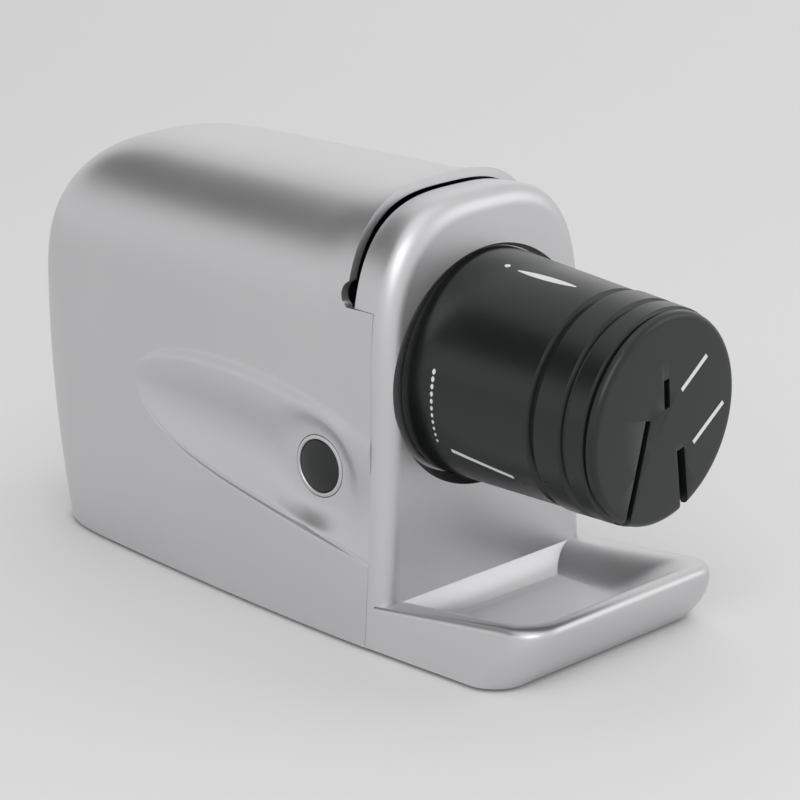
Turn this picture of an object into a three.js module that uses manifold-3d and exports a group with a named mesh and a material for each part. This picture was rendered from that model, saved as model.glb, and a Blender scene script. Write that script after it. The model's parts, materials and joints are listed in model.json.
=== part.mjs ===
// Electric knife sharpener with a manual slot across its top. Millimetres, +Z up.
// It is drawn from the face of its front frame: +Y runs back into the housing, -Y out along the guide barrel,
// and X is across. The finished group is then moved so that its origin is the middle of its underside.
import * as THREE from 'three';
import { mergeVertices } from 'three/addons/utils/BufferGeometryUtils.js';
import Module from 'manifold-3d';

const wasm = await Module();
wasm.setup();

// Fits
const seatGap = 0.3;
const runGap = 0.35;
const overrun = 3;
const shortestEdge = 0.01;

// Guide barrel
const barrelLength = 55;
const barrelRootRadius = 28.5;
const barrelTaper = 2.5;
const barrelEndRadius = barrelRootRadius - barrelTaper;
const barrelWall = 2.6;
const barrelRoot = 2.4;

// Round opening in the frame, along the barrel's axis
const dishGap = 3.5;
const dishRadius = barrelRootRadius + dishGap;
const dishTaper = 2;
const dishFloorRadius = dishRadius - dishTaper;
const dishDepth = 3.5;
const dishWall = 2.5;
const openingLap = 3.7;
const openingRadius = barrelRootRadius - openingLap;

// Guide ring that carries the barrel and turns in that opening
const ringWall = 2.8;
const ringBore = openingRadius - ringWall;
const ringReach = 7;
const ringLap = 2.2;
const ringFlange = openingRadius + ringLap;
const ringFlangeThickness = 1.5;

// Battery bay for four cells, two rows of two
const bayHalf = 15.2;
const bayLength = 106;
const bayStart = 14;
const bayHeight = 16;
const bayWall = 1.6;
const plateThickness = 3.6;
const doorThickness = 1.8;
const doorMargin = 2.2;
const hingeRadius = 0.9;
const floorGap = 1;
const bayTop = floorGap + doorThickness + bayHeight;
const bayEnd = bayStart + bayLength;

// Housing form
const tailRoom = 20;
const bodyBack = bayEnd + tailRoom;
const tailLength = 40;
const tailStart = bodyBack - tailLength;
const tailLead = 0.4;
const dishMargin = 3.8;
const sideHalf = dishRadius + dishMargin;
const sideTailTaper = 2.3;
const sideTailHalf = sideHalf - sideTailTaper;
const skirtFlare = 2.7;
const skirtHalf = sideHalf + skirtFlare;
const tailMargin = 12.3;
const skirtTailHalf = bayHalf + tailMargin;
const skirtTailRoom = 18;
const skirtTailAt = bodyBack - skirtTailRoom;
const ridgeHeight = 109.4;
const roofFall = 55;
const roofFallStart = bodyBack - roofFall;
const hoodStep = 0.6;
const frameHeight = ridgeHeight - hoodStep;
const tailHeight = 68;
const housingWall = 2.3;
const shoulderShare = 2 / 3;
const lipFlare = 1.8;
const lipFlareReach = 12;
const edgeBreak = 0.6;
const edgeRound = 1;

// Guide barrel axis: it passes the frame's face at axisHeight and sinks towards the front
const crownRoom = 10.8;
const axisHeight = frameHeight - dishRadius - crownRoom;
const axisTilt = THREE.MathUtils.degToRad(3.3);

// Thumb scoop on each side
const scoopDepth = 5.4;
const scoopTipAt = tailStart;
const scoopTipDrop = 17;
const scoopTipHeight = axisHeight - scoopTipDrop;
const scoopPeakAt = 55;
const scoopPeakDrop = 3;
const scoopPeakHeight = axisHeight - scoopPeakDrop;
const scoopFrontLow = 18.5;
const scoopFrontDrop = 14.3;
const scoopFadeStart = 8;
const scoopFadeEnd = 24;
const scoopLeastHalf = 3;
const scoopFrontShare = 0.35;

// Front frame and tray
const frameDepth = 7;
const hoopDepth = 12;
const hoopFall = 0.4;
const edgeRadius = 5;
const faceWall = 2.6;
const hoopRise = 18;
const hoopFoot = axisHeight + hoopRise;
const trayReach = 38;
const trayLean = 8.4;
const rimReach = trayReach + trayLean;
const trayDraft = 3.4;
const trayCorner = 9;
const trayFloor = 4.6;
const trayBowl = 6.5;
const rimBack = 12.2;
const rimFront = 17.2;
const rimRound = 2.2;
const rimBand = 1;
const traySink = 0.15;

// Manual slot
const slotWidth = 2.4;
const notchRadius = 3.2;
const slotWall = 2.6;
const slotWallReach = 6;

// Grinding drive
const shaftRadius = 1.5;
const wheelGap = 6.5;
const wheelRadius = barrelEndRadius - wheelGap;
const wheelTaper = 3;
const wheelBackRadius = wheelRadius - wheelTaper;
const wheelThickness = 14;
const wheelLead = 14;
const wheelFront = barrelLength - wheelLead;
const spindleRadius = 4;
const canRadius = 14;
const canWall = 0.8;
const canLength = 36;
const canFront = 13.8;
const bracketThickness = 2;

// Power button
const buttonY = 26.5;
const buttonRiseShare = 0.4518;
const buttonZ = lerp(bayTop + bayWall, axisHeight, buttonRiseShare);
const buttonRadius = 6.4;
const buttonTravel = 2;

// Materials
function plastic(color, roughness, metalness = 0) {
  return new THREE.MeshStandardMaterial({ color, roughness, metalness });
}
const silverPlastic = plastic(0xb4b4b6, 0.42, 0.15);
const blackPlastic = plastic(0x17191a, 0.35);
const darkPlastic = plastic(0x26292b, 0.6);
const greyPlastic = plastic(0x6d7073, 0.6);
const rubber = plastic(0x1c1c1c, 0.9);
const steel = plastic(0xb9bcc0, 0.3, 1);
const zincSteel = plastic(0x9da1a6, 0.4, 1);
const bronze = plastic(0xa9793f, 0.4, 1);
const stone = plastic(0xd9cfc4, 0.95);
const ceramic = plastic(0xf1efe8, 0.5);
const magnetGrey = plastic(0x3b3d40, 0.7);

// Solids: three.js geometry in, manifold booleans, three.js geometry out
function solidOf(source, matrix) {
  let geometry = source.clone();
  if (matrix) geometry.applyMatrix4(matrix);
  geometry.deleteAttribute('normal');
  geometry.deleteAttribute('uv');
  geometry = mergeVertices(geometry);
  const place = geometry.attributes.position;
  const index = geometry.index.array;
  const corners = [];
  let volume = 0;
  const a = new THREE.Vector3();
  const b = new THREE.Vector3();
  const c = new THREE.Vector3();
  for (let i = 0; i < index.length; i += 3) {
    const [p, q, r] = [index[i], index[i + 1], index[i + 2]];
    if (p === q || q === r || r === p) continue;
    corners.push([p, q, r]);
    a.fromBufferAttribute(place, p);
    b.fromBufferAttribute(place, q);
    c.fromBufferAttribute(place, r);
    volume += a.dot(b.cross(c));
  }
  const triVerts = new Uint32Array(corners.flatMap(([p, q, r]) => (volume < 0 ? [p, r, q] : [p, q, r])));
  return new wasm.Manifold(new wasm.Mesh({
    numProp: 3, vertProperties: new Float32Array(place.array), triVerts,
  }));
}

const group = new THREE.Group();
const axisGroup = new THREE.Group();
axisGroup.position.set(0, 0, axisHeight);
axisGroup.rotation.x = axisTilt;
axisGroup.updateMatrix();
const axisMatrix = axisGroup.matrix.clone();
group.add(axisGroup);

function addPiece(name, solid, material, parent = group) {
  const result = solid.asOriginal().simplify(shortestEdge).getMesh();
  const geometry = new THREE.BufferGeometry();
  geometry.setAttribute('position', new THREE.BufferAttribute(new Float32Array(result.vertProperties), 3));
  geometry.setIndex(new THREE.BufferAttribute(new Uint32Array(result.triVerts), 1));
  geometry.computeVertexNormals();
  const piece = new THREE.Mesh(geometry, material.clone());
  piece.name = name;
  parent.add(piece);
  return piece;
}

function at(x, y, z, turnX = 0, turnY = 0, turnZ = 0) {
  const turn = new THREE.Quaternion().setFromEuler(new THREE.Euler(turnX, turnY, turnZ));
  return new THREE.Matrix4().compose(new THREE.Vector3(x, y, z), turn, new THREE.Vector3(1, 1, 1));
}

const quarter = Math.PI / 2;

// A box given by its two corners
function block(low, high, matrix) {
  const geometry = new THREE.BoxGeometry(high[0] - low[0], high[1] - low[1], high[2] - low[2]);
  geometry.translate((high[0] + low[0]) / 2, (high[1] + low[1]) / 2, (high[2] + low[2]) / 2);
  return solidOf(geometry, matrix);
}

// A turned solid about Y: profile points are [radius, place along Y], from axis to axis or a closed ring
function turned(profile, segments, matrix) {
  const points = profile.map(([radius, along]) => new THREE.Vector2(radius, along));
  return solidOf(new THREE.LatheGeometry(points, segments), matrix);
}

function tubeProfile(inner, outer, from, to) {
  return [[inner, from], [outer, from], [outer, to], [inner, to], [inner, from]];
}

function rodProfile(radius, from, to) {
  return [[0, from], [radius, from], [radius, to], [0, to]];
}

// A skin through rings of equal length, closed by a flat cap at each end
function loft(rings, flat) {
  const count = rings[0].length;
  const positions = rings.flat().flatMap((point) => [point.x, point.y, point.z]);
  const index = [];
  for (let r = 0; r + 1 < rings.length; r += 1) {
    for (let i = 0; i < count; i += 1) {
      const next = (i + 1) % count;
      const [p, q] = [r * count + i, r * count + next];
      index.push(p, q, q + count, p, q + count, p + count);
    }
  }
  for (const [first, flip] of [[0, true], [(rings.length - 1) * count, false]]) {
    const outline = rings[first / count].map(flat);
    const turnsBack = THREE.ShapeUtils.isClockWise(outline);
    for (const [p, q, r] of THREE.ShapeUtils.triangulateShape(outline, [])) {
      const faceBack = THREE.ShapeUtils.isClockWise([outline[p], outline[q], outline[r]]);
      const [second, third] = (faceBack !== turnsBack) !== flip ? [r, q] : [q, r];
      index.push(first + p, first + second, first + third);
    }
  }
  const geometry = new THREE.BufferGeometry();
  geometry.setAttribute('position', new THREE.Float32BufferAttribute(positions, 3));
  geometry.setIndex(index);
  return solidOf(geometry);
}
const alongY = (point) => new THREE.Vector2(-point.x, point.z);
const alongZ = (point) => new THREE.Vector2(point.x, point.y);

function lerp(from, to, share) {
  return from + (to - from) * share;
}

function fade(value, from, to) {
  return THREE.MathUtils.smoothstep(value, from, to);
}

// Plan and profile of the housing, as functions of the distance behind the frame's face
function tailShare(y) {
  return Math.max((y - tailStart) / (bodyBack + tailLead - tailStart), 0);
}

function halfSkirt(y) {
  const share = Math.max(y / skirtTailAt, 0);
  const straight = skirtHalf - (skirtHalf - skirtTailHalf) * share ** 1.5;
  return straight * (1 - tailShare(y) ** 5) ** 0.4;
}

function halfSide(y) {
  const share = Math.max(y / skirtTailAt, 0);
  const straight = sideHalf - (sideHalf - sideTailHalf) * share ** 2;
  return straight * (1 - tailShare(y) ** 5) ** 0.4;
}

function roofHeight(y) {
  const share = Math.max((y - roofFallStart) / (bodyBack + tailLead - roofFallStart), 0);
  return tailHeight + (ridgeHeight - tailHeight) * (1 - share ** 3.8) ** 0.5;
}

// Lower crease and upper edge of the thumb scoop
function scoopEdges(y) {
  const reach = Math.min(Math.max(y / scoopTipAt, 0), 1);
  const low = lerp(scoopFrontLow, scoopTipHeight, reach ** 2.1);
  const front = Math.max((scoopPeakAt - y) / scoopPeakAt, 0);
  const back = Math.min(Math.max((y - scoopPeakAt) / (scoopTipAt - scoopPeakAt), 0), 1);
  const high = scoopPeakHeight - scoopFrontDrop * front ** 2
    - (scoopPeakHeight - scoopTipHeight) * back ** 3.5;
  return [Math.min(low, scoopTipHeight - scoopLeastHalf), Math.max(high, scoopTipHeight + scoopLeastHalf)];
}

function scoopInset(y, share) {
  const back = 1 - Math.min(Math.max(y / scoopTipAt, 0), 1) ** 3;
  const front = lerp(scoopFrontShare, 1, fade(y, scoopFadeStart, scoopFadeEnd));
  return scoopDepth * back * front * Math.sin(Math.PI * share ** 0.5) ** 0.75;
}

function sideAt(y, z) {
  const rise = 1 - Math.min(Math.max(z / axisHeight, 0), 1);
  return halfSide(y) + (halfSkirt(y) - halfSide(y)) * rise ** 2;
}

function lipPush(y, share) {
  const near = Math.max((hoopDepth + slotWidth + lipFlareReach - y) / lipFlareReach, 0);
  return lipFlare * Math.min(near, 1) ** 2 * share;
}

const fineSteps = { skirt: 2, scoopShares: [0.05, 0.14, 0.28, 0.46, 0.66, 0.84, 1], roof: 8 };
const coarseSteps = { skirt: 1, scoopShares: [0.05, 0.14, 0.46, 0.84], roof: 5 };

// One closed section of the housing in the XZ plane, drawn in by inset, its foot at the height bottom
function housingRing(y, atY, inset, bottom, steps) {
  const [crease, high] = scoopEdges(y);
  const low = crease - inset;
  const side = [[sideAt(y, floorGap) - inset, bottom]];
  for (let i = 1; i <= steps.skirt; i += 1) {
    const z = lerp(floorGap, low, i / steps.skirt);
    side.push([sideAt(y, z) - inset, z]);
  }
  for (const share of steps.scoopShares) {
    const z = lerp(low, high, share);
    side.push([sideAt(y, z) - inset - scoopInset(y, share), z]);
  }
  const half = halfSide(y) - inset;
  const rise = roofHeight(y) - inset - axisHeight;
  for (let i = 0; i <= steps.roof; i += 1) {
    const turn = quarter * (i / steps.roof);
    const push = lipPush(y, Math.sin(turn) ** 2);
    const across = Math.cos(turn) ** shoulderShare;
    const up = Math.sin(turn) ** shoulderShare;
    side.push([i === steps.roof ? 0 : (half + push) * across, axisHeight + (rise + push) * up]);
  }
  const left = side.slice(0, -1).reverse().map(([x, z]) => [-x, z]);
  return [...side, ...left].map(([x, z]) => new THREE.Vector3(x, atY, z));
}

// Section places: even along the body, closer together round the tail
function stationsBetween(from, to, evenSteps, tailSteps) {
  const places = [];
  for (let i = 0; i < evenSteps; i += 1) places.push(lerp(from, tailStart, i / evenSteps));
  for (let i = 0; i <= tailSteps; i += 1) {
    places.push(lerp(tailStart, to, Math.sin(quarter * (i / tailSteps))));
  }
  return places;
}

const housingFront = frameDepth + seatGap;

// The place on the outside that lies one wall out from a place on the inside
function outsideOf(y) {
  const stretch = (bodyBack - tailStart) / (bodyBack - housingWall - tailStart);
  return y > tailStart ? tailStart + (y - tailStart) * stretch : y;
}

function bossAt(y) {
  return sideAt(y, floorGap) - housingWall - bossRadius + bossSink;
}
const bossRadius = 3.4;
const bossSink = 0.3;
const bossHeight = 18;
const screwRadius = 1.25;
const middleBossY = 34;
const rearBossRoom = 28;
const rearBossPlaces = [middleBossY, bodyBack - rearBossRoom];

// Wall of the manual slot, turned inwards from an arch, from y on
function archWall(y, ringAt) {
  const ends = [y, y + slotWall];
  const whole = loft(ends.map((place) => ringAt(place, housingWall / 2)), alongY);
  const hole = loft([y - overrun, ...ends, y + slotWall + overrun]
    .map((place) => ringAt(Math.min(Math.max(place, y), y + slotWall), slotWallReach)
      .map((point) => new THREE.Vector3(point.x, place, point.z))), alongY);
  const wide = skirtHalf + overrun;
  return whole.subtract(hole).intersect(block([-wide, y, hoopFoot], [wide, y + slotWall,
    ridgeHeight + overrun]));
}

function makeHousing() {
  const outer = loft(stationsBetween(housingFront, bodyBack, 12, 8)
    .map((y) => housingRing(y, y, 0, floorGap, fineSteps)), alongY);
  const inner = loft([housingFront - overrun, ...stationsBetween(housingFront, bodyBack - housingWall, 9,
    6)]
    .map((y) => housingRing(Math.max(outsideOf(y), housingFront), y, housingWall, floorGap - overrun,
      coarseSteps)),
  alongY);
  const wide = skirtHalf + overrun;
  const lip = hoopDepth + slotWidth;
  let housing = outer.subtract(inner).add(archWall(lip, (y, inset) => housingRing(y, y, inset, floorGap,
    fineSteps)));
  housing = housing.subtract(block([-wide, 0, hoopFoot - seatGap], [wide, lip, ridgeHeight + overrun * 2]));
  for (const side of [-1, 1]) {
    const notch = turned(rodProfile(notchRadius, 0, wide), 16,
      at(side * sideHalf / 2, hoopDepth + slotWidth / 2, hoopFoot + notchRadius, 0, 0, -side * quarter));
    housing = housing.subtract(notch);
  }
  const bossFoot = floorGap + plateThickness + seatGap;
  for (const y of rearBossPlaces) {
    for (const side of [-1, 1]) {
      const x = side * bossAt(y);
      const wallX = side * (sideAt(y, floorGap) - housingWall / 2);
      housing = housing.add(turned(rodProfile(bossRadius, bossFoot, bossHeight), 8, at(x, y, 0, quarter)));
      housing = housing.add(block([Math.min(x, wallX), y - bossRadius / 2, bossFoot],
        [Math.max(x, wallX), y + bossRadius / 2, bossHeight]));
      housing = housing.subtract(turned(rodProfile(screwRadius + seatGap, bossFoot - overrun,
        bossHeight - bossRadius / 2), 6, at(x, y, 0, quarter)));
    }
  }
  const face = buttonFace();
  housing = housing.subtract(turned(rodProfile(buttonRadius + runGap, -wide, -face + overrun * 2), 24,
    at(0, buttonY, buttonZ, 0, 0, -quarter)));
  housing = housing.subtract(turned(rodProfile(bezelRadius + seatGap, -wide, -face + bezelSeat), 24,
    at(0, buttonY, buttonZ, 0, 0, -quarter)));
  housing = housing.subtract(turned(rodProfile(buttonFlange + runGap, -face + housingWall,
    -face + overrun * 3), 24,
    at(0, buttonY, buttonZ, 0, 0, -quarter)));
  return housing;
}

// How far the scoop's surface lies from the middle plane at the button
function buttonFace() {
  const [low, high] = scoopEdges(buttonY);
  return sideAt(buttonY, buttonZ) - scoopInset(buttonY, (buttonZ - low) / (high - low));
}
const bezelRadius = 8.2;
const bezelSeat = 0.9;
const bezelRise = 0.3;

// One closed section of the front frame, drawn in by inset at its sides and top
function frameRing(y, inset, bottom) {
  const side = [[sideAt(frameDepth, floorGap) - inset, bottom]];
  for (let i = 1; i <= frameSideSteps; i += 1) {
    const z = lerp(floorGap, axisHeight, i / (frameSideSteps + 1));
    side.push([sideAt(frameDepth, z) - inset, z]);
  }
  const half = halfSide(frameDepth) - inset;
  const rise = frameHeight - inset - axisHeight;
  for (let i = 0; i <= fineSteps.roof; i += 1) {
    const turn = quarter * (i / fineSteps.roof);
    const across = Math.cos(turn) ** shoulderShare;
    const up = Math.sin(turn) ** shoulderShare;
    side.push([i === fineSteps.roof ? 0 : half * across, axisHeight + rise * up]);
  }
  const left = side.slice(0, -1).reverse().map(([x, z]) => [-x, z]);
  return [...side, ...left].map(([x, z]) => new THREE.Vector3(x, y, z));
}
const frameSideSteps = 5;

// The tray's rim climbs evenly towards the front
function rimAt(y) {
  return rimBack + (rimFront - rimBack) * (-y / rimReach);
}

// One ring of the tray: its height as a share between foot and rim, its back edge and half width there,
// its inset at the sides, how far it stands out in front and its corner radius
function trayRing(foot, share, back, backHalf, inset, reach, corner) {
  const points = [];
  const arcSteps = 5;
  const half = skirtHalf - inset;
  const corners = [[half - corner, -reach + corner, corner, -quarter], [backHalf, back, 0, 0],
    [-backHalf, back, 0, 0], [-half + corner, -reach + corner, corner, Math.PI]];
  for (const [x, y, radius, start] of corners) {
    for (let i = 0; i <= (radius > 0 ? arcSteps : 0); i += 1) {
      const turn = start + quarter * (i / arcSteps);
      const place = y + radius * Math.sin(turn);
      points.push(new THREE.Vector3(x + radius * Math.cos(turn), place, lerp(foot, rimAt(place), share)));
    }
  }
  return points;
}

function makeTray() {
  const back = edgeRadius + traySink;
  const backHalf = sideAt(frameDepth, rimBack) - traySink;
  const footHalf = sideAt(frameDepth, floorGap) - traySink;
  const roundFrom = 1 - rimRound / (rimFront - floorGap);
  const outer = loft([[0, 0], [roundFrom / 4, 0], [roundFrom / 2, 0], [roundFrom * 3 / 4, 0], [roundFrom, 0],
    [roundFrom, 1 / 3], [roundFrom, 2 / 3], [roundFrom, 1]]
    .map(([foot, turnShare]) => {
      const share = foot + (1 - foot) * Math.sin(quarter * turnShare) * Math.sign(turnShare);
      const round = rimRound * (1 - Math.cos(quarter * turnShare));
      const reach = trayReach + trayLean * Math.sin(quarter * foot / roundFrom) - round;
      return trayRing(floorGap, share, back, lerp(footHalf, backHalf, share), trayDraft * foot + round,
        reach, trayCorner);
    }), alongZ);
  const rimInset = trayDraft + rimRound + rimBand;
  const bowl = [0, 0.25, 0.5, 0.75, 1].map((turnShare) => {
    const spread = trayBowl * (1 - Math.sin(quarter * turnShare));
    return trayRing(trayFloor, 1 - Math.cos(quarter * turnShare), -spread, skirtHalf - rimInset - spread,
      rimInset + spread, rimReach - rimRound - rimBand - spread, trayCorner - rimBand);
  });
  const above = bowl[bowl.length - 1].map((point) => point.clone().setZ(point.z + overrun));
  return { tray: outer, hollow: loft([...bowl, above], alongZ) };
}

const frontBossInset = 10.5;
const frontBossX = skirtHalf - frontBossInset;
const frontBossY = 13;
const bracketBossInset = 8.3;
const bracketBossX = sideHalf - bracketBossInset;
const bracketBossRise = 13;
const bracketBossRadius = 3;
const slotPostX = 9;
const slotPostDrop = 11.8;
const slotPostRise = frameHeight - slotPostDrop;
const slotPostRadius = 2.6;
const slotBlockLap = 2.4;

function makeFrontFrame() {
  const fillet = [0, 1 / 3, 2 / 3, 1].map((share) => [edgeRadius * (1 - Math.cos(quarter * share)),
    edgeRadius * (1 - Math.sin(quarter * share))]);
  const outer = loft([...fillet, [frameDepth, 0], [hoopDepth, hoopFall]]
    .map(([y, inset]) => frameRing(y, inset, floorGap)), alongY);
  const inner = loft([[faceWall, edgeRadius / 2], [edgeRadius, 0], [frameDepth, 0], [hoopDepth + overrun,
    hoopFall]]
    .map(([y, inset]) => frameRing(y, inset + housingWall, floorGap + plateThickness)), alongY);
  const { tray, hollow } = makeTray();
  let frame = outer.add(tray).subtract(hollow);
  frame = frame.add(turned([[0, 0], [dishRadius + faceWall, 0], [dishFloorRadius + faceWall,
    dishDepth + dishWall],
    [0, dishDepth + dishWall]], 32, axisMatrix).intersect(block([-sideHalf + edgeRound, faceWall / 2, 0],
    [sideHalf - edgeRound, hoopDepth, frameHeight - housingWall])));
  frame = frame.subtract(inner.subtract(turned([[0, -overrun], [dishRadius + faceWall, -overrun],
    [dishFloorRadius + faceWall, dishDepth + dishWall], [0, dishDepth + dishWall]], 32, axisMatrix)));
  frame = frame.subtract(block([-skirtHalf - overrun, frameDepth, -overrun],
    [skirtHalf + overrun, hoopDepth + overrun, hoopFoot]));
  frame = frame.add(archWall(hoopDepth - slotWall, (y, inset) => frameRing(y, inset + hoopFall, floorGap)));
  frame = frame.subtract(turned([[0, -overrun], [dishRadius, -overrun], [dishRadius, 0],
    [dishFloorRadius, dishDepth], [0, dishDepth]], 32, axisMatrix));
  frame = frame.subtract(turned(rodProfile(openingRadius, -overrun, dishDepth + dishWall + overrun), 32,
    axisMatrix));
  return addFrameBosses(frame);
}

function addFrameBosses(bare) {
  let frame = bare;
  const foot = floorGap + plateThickness + seatGap;
  for (const side of [-1, 1]) {
    frame = frame.subtract(turned(rodProfile(footRadius + seatGap, -overrun, floorGap + footSeat), 16,
      at(side * frontFootX, frontFootY, 0, quarter)));
  }
  for (const side of [-1, 1]) {
    const x = side * frontBossX;
    const rib = block([x - bossRadius / 2, faceWall / 2, foot + bossRadius], [x + bossRadius / 2,
      frontBossY, bossHeight]);
    const boss = turned(rodProfile(bossRadius, foot, bossHeight), 8, at(x, frontBossY, 0, quarter));
    frame = frame.add(rib).add(boss);
    frame = frame.subtract(turned(rodProfile(screwRadius + seatGap, foot - overrun / 2,
      bossHeight - bossRadius / 2),
      6, at(x, frontBossY, 0, quarter)));
    for (const rise of [-bracketBossRise, bracketBossRise]) {
      const base = axisMatrix.clone().multiply(at(side * bracketBossX, 0, rise));
      frame = frame.add(turned(rodProfile(bracketBossRadius, dishDepth, bracketFace - seatGap), 8, base));
      frame = frame.subtract(turned(rodProfile(screwRadius + seatGap, dishDepth + dishWall,
        bracketFace + overrun), 6, base));
    }
    const post = at(side * slotPostX, 0, slotPostRise);
    frame = frame.add(turned(rodProfile(slotPostRadius, faceWall / 2, slotBlockFront - seatGap), 8, post));
    frame = frame.subtract(turned(rodProfile(screwRadius + seatGap, dishDepth + dishWall,
      slotBlockFront + overrun),
      6, post));
  }
  return frame;
}
const bracketFace = canFront - bracketThickness - seatGap;
const slotBlockFront = hoopDepth - slotBlockLap;

// Screws point along +Y of their matrix, head first
function screw(headRadius, headHeight, length, matrix) {
  return turned([[0, 0], [headRadius, 0], [headRadius, headHeight], [screwRadius, headHeight],
    [screwRadius, headHeight + length - screwRadius], [0, headHeight + length]], 8, matrix);
}
const screwHead = 2.2;
const screwHeadHeight = 1.3;
const motorScrewLength = 3.4;
const bracketScrewLength = 7;
const slotScrewLength = 13;
const baseScrewLength = 11;

// Base plate with the battery bay, the motor saddle and the seats of screws and feet
const doorFront = bayStart - doorMargin;
const doorBack = bayEnd + doorMargin;
const hingeY = doorFront + hingeRadius;
const hingeZ = floorGap + hingeRadius;
const latchHalf = 4;
const latchDepth = 1.4;
const latchRise = 4;
const fingerRadius = 6;
const footRadius = 4.5;
const footSeat = 1;
const footHeight = floorGap + footSeat - seatGap;
const rearFootInset = 12.5;
const rearFootX = skirtTailHalf - rearFootInset;
const rearFootRoom = 11;
const rearFootY = bodyBack - rearFootRoom;
const frontFootInset = 11.5;
const frontFootX = skirtHalf - frontFootInset;
const frontFootRoom = 12;
const frontFootY = frontFootRoom - trayReach;
const saddleHalf = 7;
const saddleFrom = 37;
const saddleDepth = 3;

function basePlaces() {
  return [[frontBossX, frontBossY], ...rearBossPlaces.map((y) => [bossAt(y), y])]
    .flatMap(([x, y]) => [[-x, y], [x, y]]);
}

function plateOutline(z) {
  const end = bodyBack - housingWall;
  const right = stationsBetween(housingFront, end, 9, 6).map((y) => {
    const outside = Math.min(sideAt(outsideOf(y), floorGap), sideAt(outsideOf(y),
      floorGap + plateThickness));
    return new THREE.Vector3(outside - housingWall - seatGap, Math.min(y, end - seatGap), z);
  });
  const left = right.slice().reverse().map((point) => new THREE.Vector3(-point.x, point.y, z));
  return [...right, ...left];
}

function makeBasePlate() {
  const top = floorGap + plateThickness;
  let plate = loft([plateOutline(floorGap), plateOutline(top)], alongZ);
  const wide = bayHalf + bayWall;
  plate = plate.add(block([-wide, bayStart - bayWall, floorGap], [wide, bayEnd + bayWall,
    bayTop + bayWall]));
  const saddleTop = axisHeight - canRadius + saddleDepth * 2;
  plate = plate.add(block([-saddleHalf, saddleFrom, bayTop], [saddleHalf, saddleFrom + saddleDepth,
    saddleTop]));
  plate = plate.subtract(turned(rodProfile(canRadius + seatGap, canFront, canFront + canLength), 32,
    axisMatrix));
  plate = plate.subtract(block([-bayHalf, bayStart, -overrun], [bayHalf, bayEnd, bayTop]));
  const doorHalf = bayHalf + doorMargin;
  plate = plate.subtract(block([-doorHalf, doorFront - runGap, -overrun],
    [doorHalf, doorBack + runGap, floorGap + doorThickness + seatGap]));
  plate = plate.subtract(block([-latchHalf - runGap, doorBack - latchDepth - runGap * 2, -overrun],
    [latchHalf + runGap, doorBack + runGap, top + overrun]));
  plate = plate.subtract(turned(rodProfile(fingerRadius, -latchHalf * 2, latchHalf * 2), 20,
    at(0, doorBack + latchDepth * 2, floorGap - fingerRadius + doorThickness, 0, 0, quarter)));
  for (const [x, y] of basePlaces()) {
    const place = at(x, y, 0, quarter);
    plate = plate.subtract(turned(rodProfile(screwRadius + seatGap, -overrun, top + overrun), 10, place));
    plate = plate.subtract(turned(rodProfile(screwHead + seatGap, -overrun,
      floorGap + plateThickness / 2), 12, place));
  }
  for (const side of [-1, 1]) {
    plate = plate.subtract(turned(rodProfile(footRadius + seatGap, -overrun, floorGap + footSeat), 16,
      at(side * rearFootX, rearFootY, 0, quarter)));
  }
  return plate;
}

// Door drawn as its side profile, rounded at the hinge, and carried across
function makeBatteryDoor() {
  const half = bayHalf + doorMargin - runGap;
  const outline = new THREE.Shape();
  outline.moveTo(hingeY, floorGap + doorThickness);
  outline.absarc(hingeY, hingeZ, hingeRadius, quarter, quarter * 3, false);
  outline.lineTo(doorBack, floorGap);
  outline.lineTo(doorBack, floorGap + doorThickness);
  const geometry = new THREE.ExtrudeGeometry(outline, { depth: half * 2, bevelEnabled: false,
    curveSegments: 8 });
  const across = new THREE.Matrix4().makeBasis(new THREE.Vector3(0, 1, 0), new THREE.Vector3(0, 0, 1),
    new THREE.Vector3(1, 0, 0)).setPosition(-half, 0, 0);
  const latch = block([-latchHalf, doorBack - latchDepth, floorGap + doorThickness / 2],
    [latchHalf, doorBack, floorGap + doorThickness + latchRise]);
  return solidOf(geometry, across).add(latch);
}

function makeFoot(x, y) {
  return turned([[0, 0], [footRadius - footSeat / 2, 0], [footRadius, footSeat / 2], [footRadius,
    footHeight],
    [0, footHeight]], 14, at(x, y, 0, quarter));
}

// Guide barrel, profiles as [radius, place along the axis]
function barrelRadius(along) {
  return lerp(barrelRootRadius, barrelEndRadius, -along / barrelLength);
}
const grooveDepth = 1.3;
const grooveFlank = 0.5;
const gripRise = 0.4;
const grooveShares = [[0.645, 0.69], [0.82, 0.855], [0.94, 0.96]];
const endRound = 1.6;
const roundingShare = 0.3;
const endWall = 2.7;
const slitDepth = 14;
const insertThickness = 7.4;

// Slots of the end face: from and to as shares of its radius
const slitWidth = 1.9;
const notchWidth = 2.8;
const holeWidth = 2;
const slitPlaces = [
  { fromShares: [-0.26, 0.06], toShares: [-0.5, -1.2], width: slitWidth, depth: slitDepth },
  { fromShares: [0.24, -0.32], toShares: [0.44, -1.2], width: notchWidth, depth: slitDepth },
  { fromShares: [0, 0.12], toShares: [-0.04, 0.4], width: holeWidth,
    depth: endWall + insertThickness + overrun },
];

function slitCutters(clearance) {
  return slitPlaces.map(({ fromShares, toShares, width, depth }) => {
    const from = new THREE.Vector2(...fromShares).multiplyScalar(barrelEndRadius);
    const to = new THREE.Vector2(...toShares).multiplyScalar(barrelEndRadius);
    const run = to.clone().sub(from);
    const half = width / 2 + clearance;
    return block([0, -barrelLength - overrun, -half], [run.length(), -barrelLength + depth, half],
      at(from.x, 0, from.y, 0, -run.angle()));
  });
}

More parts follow.
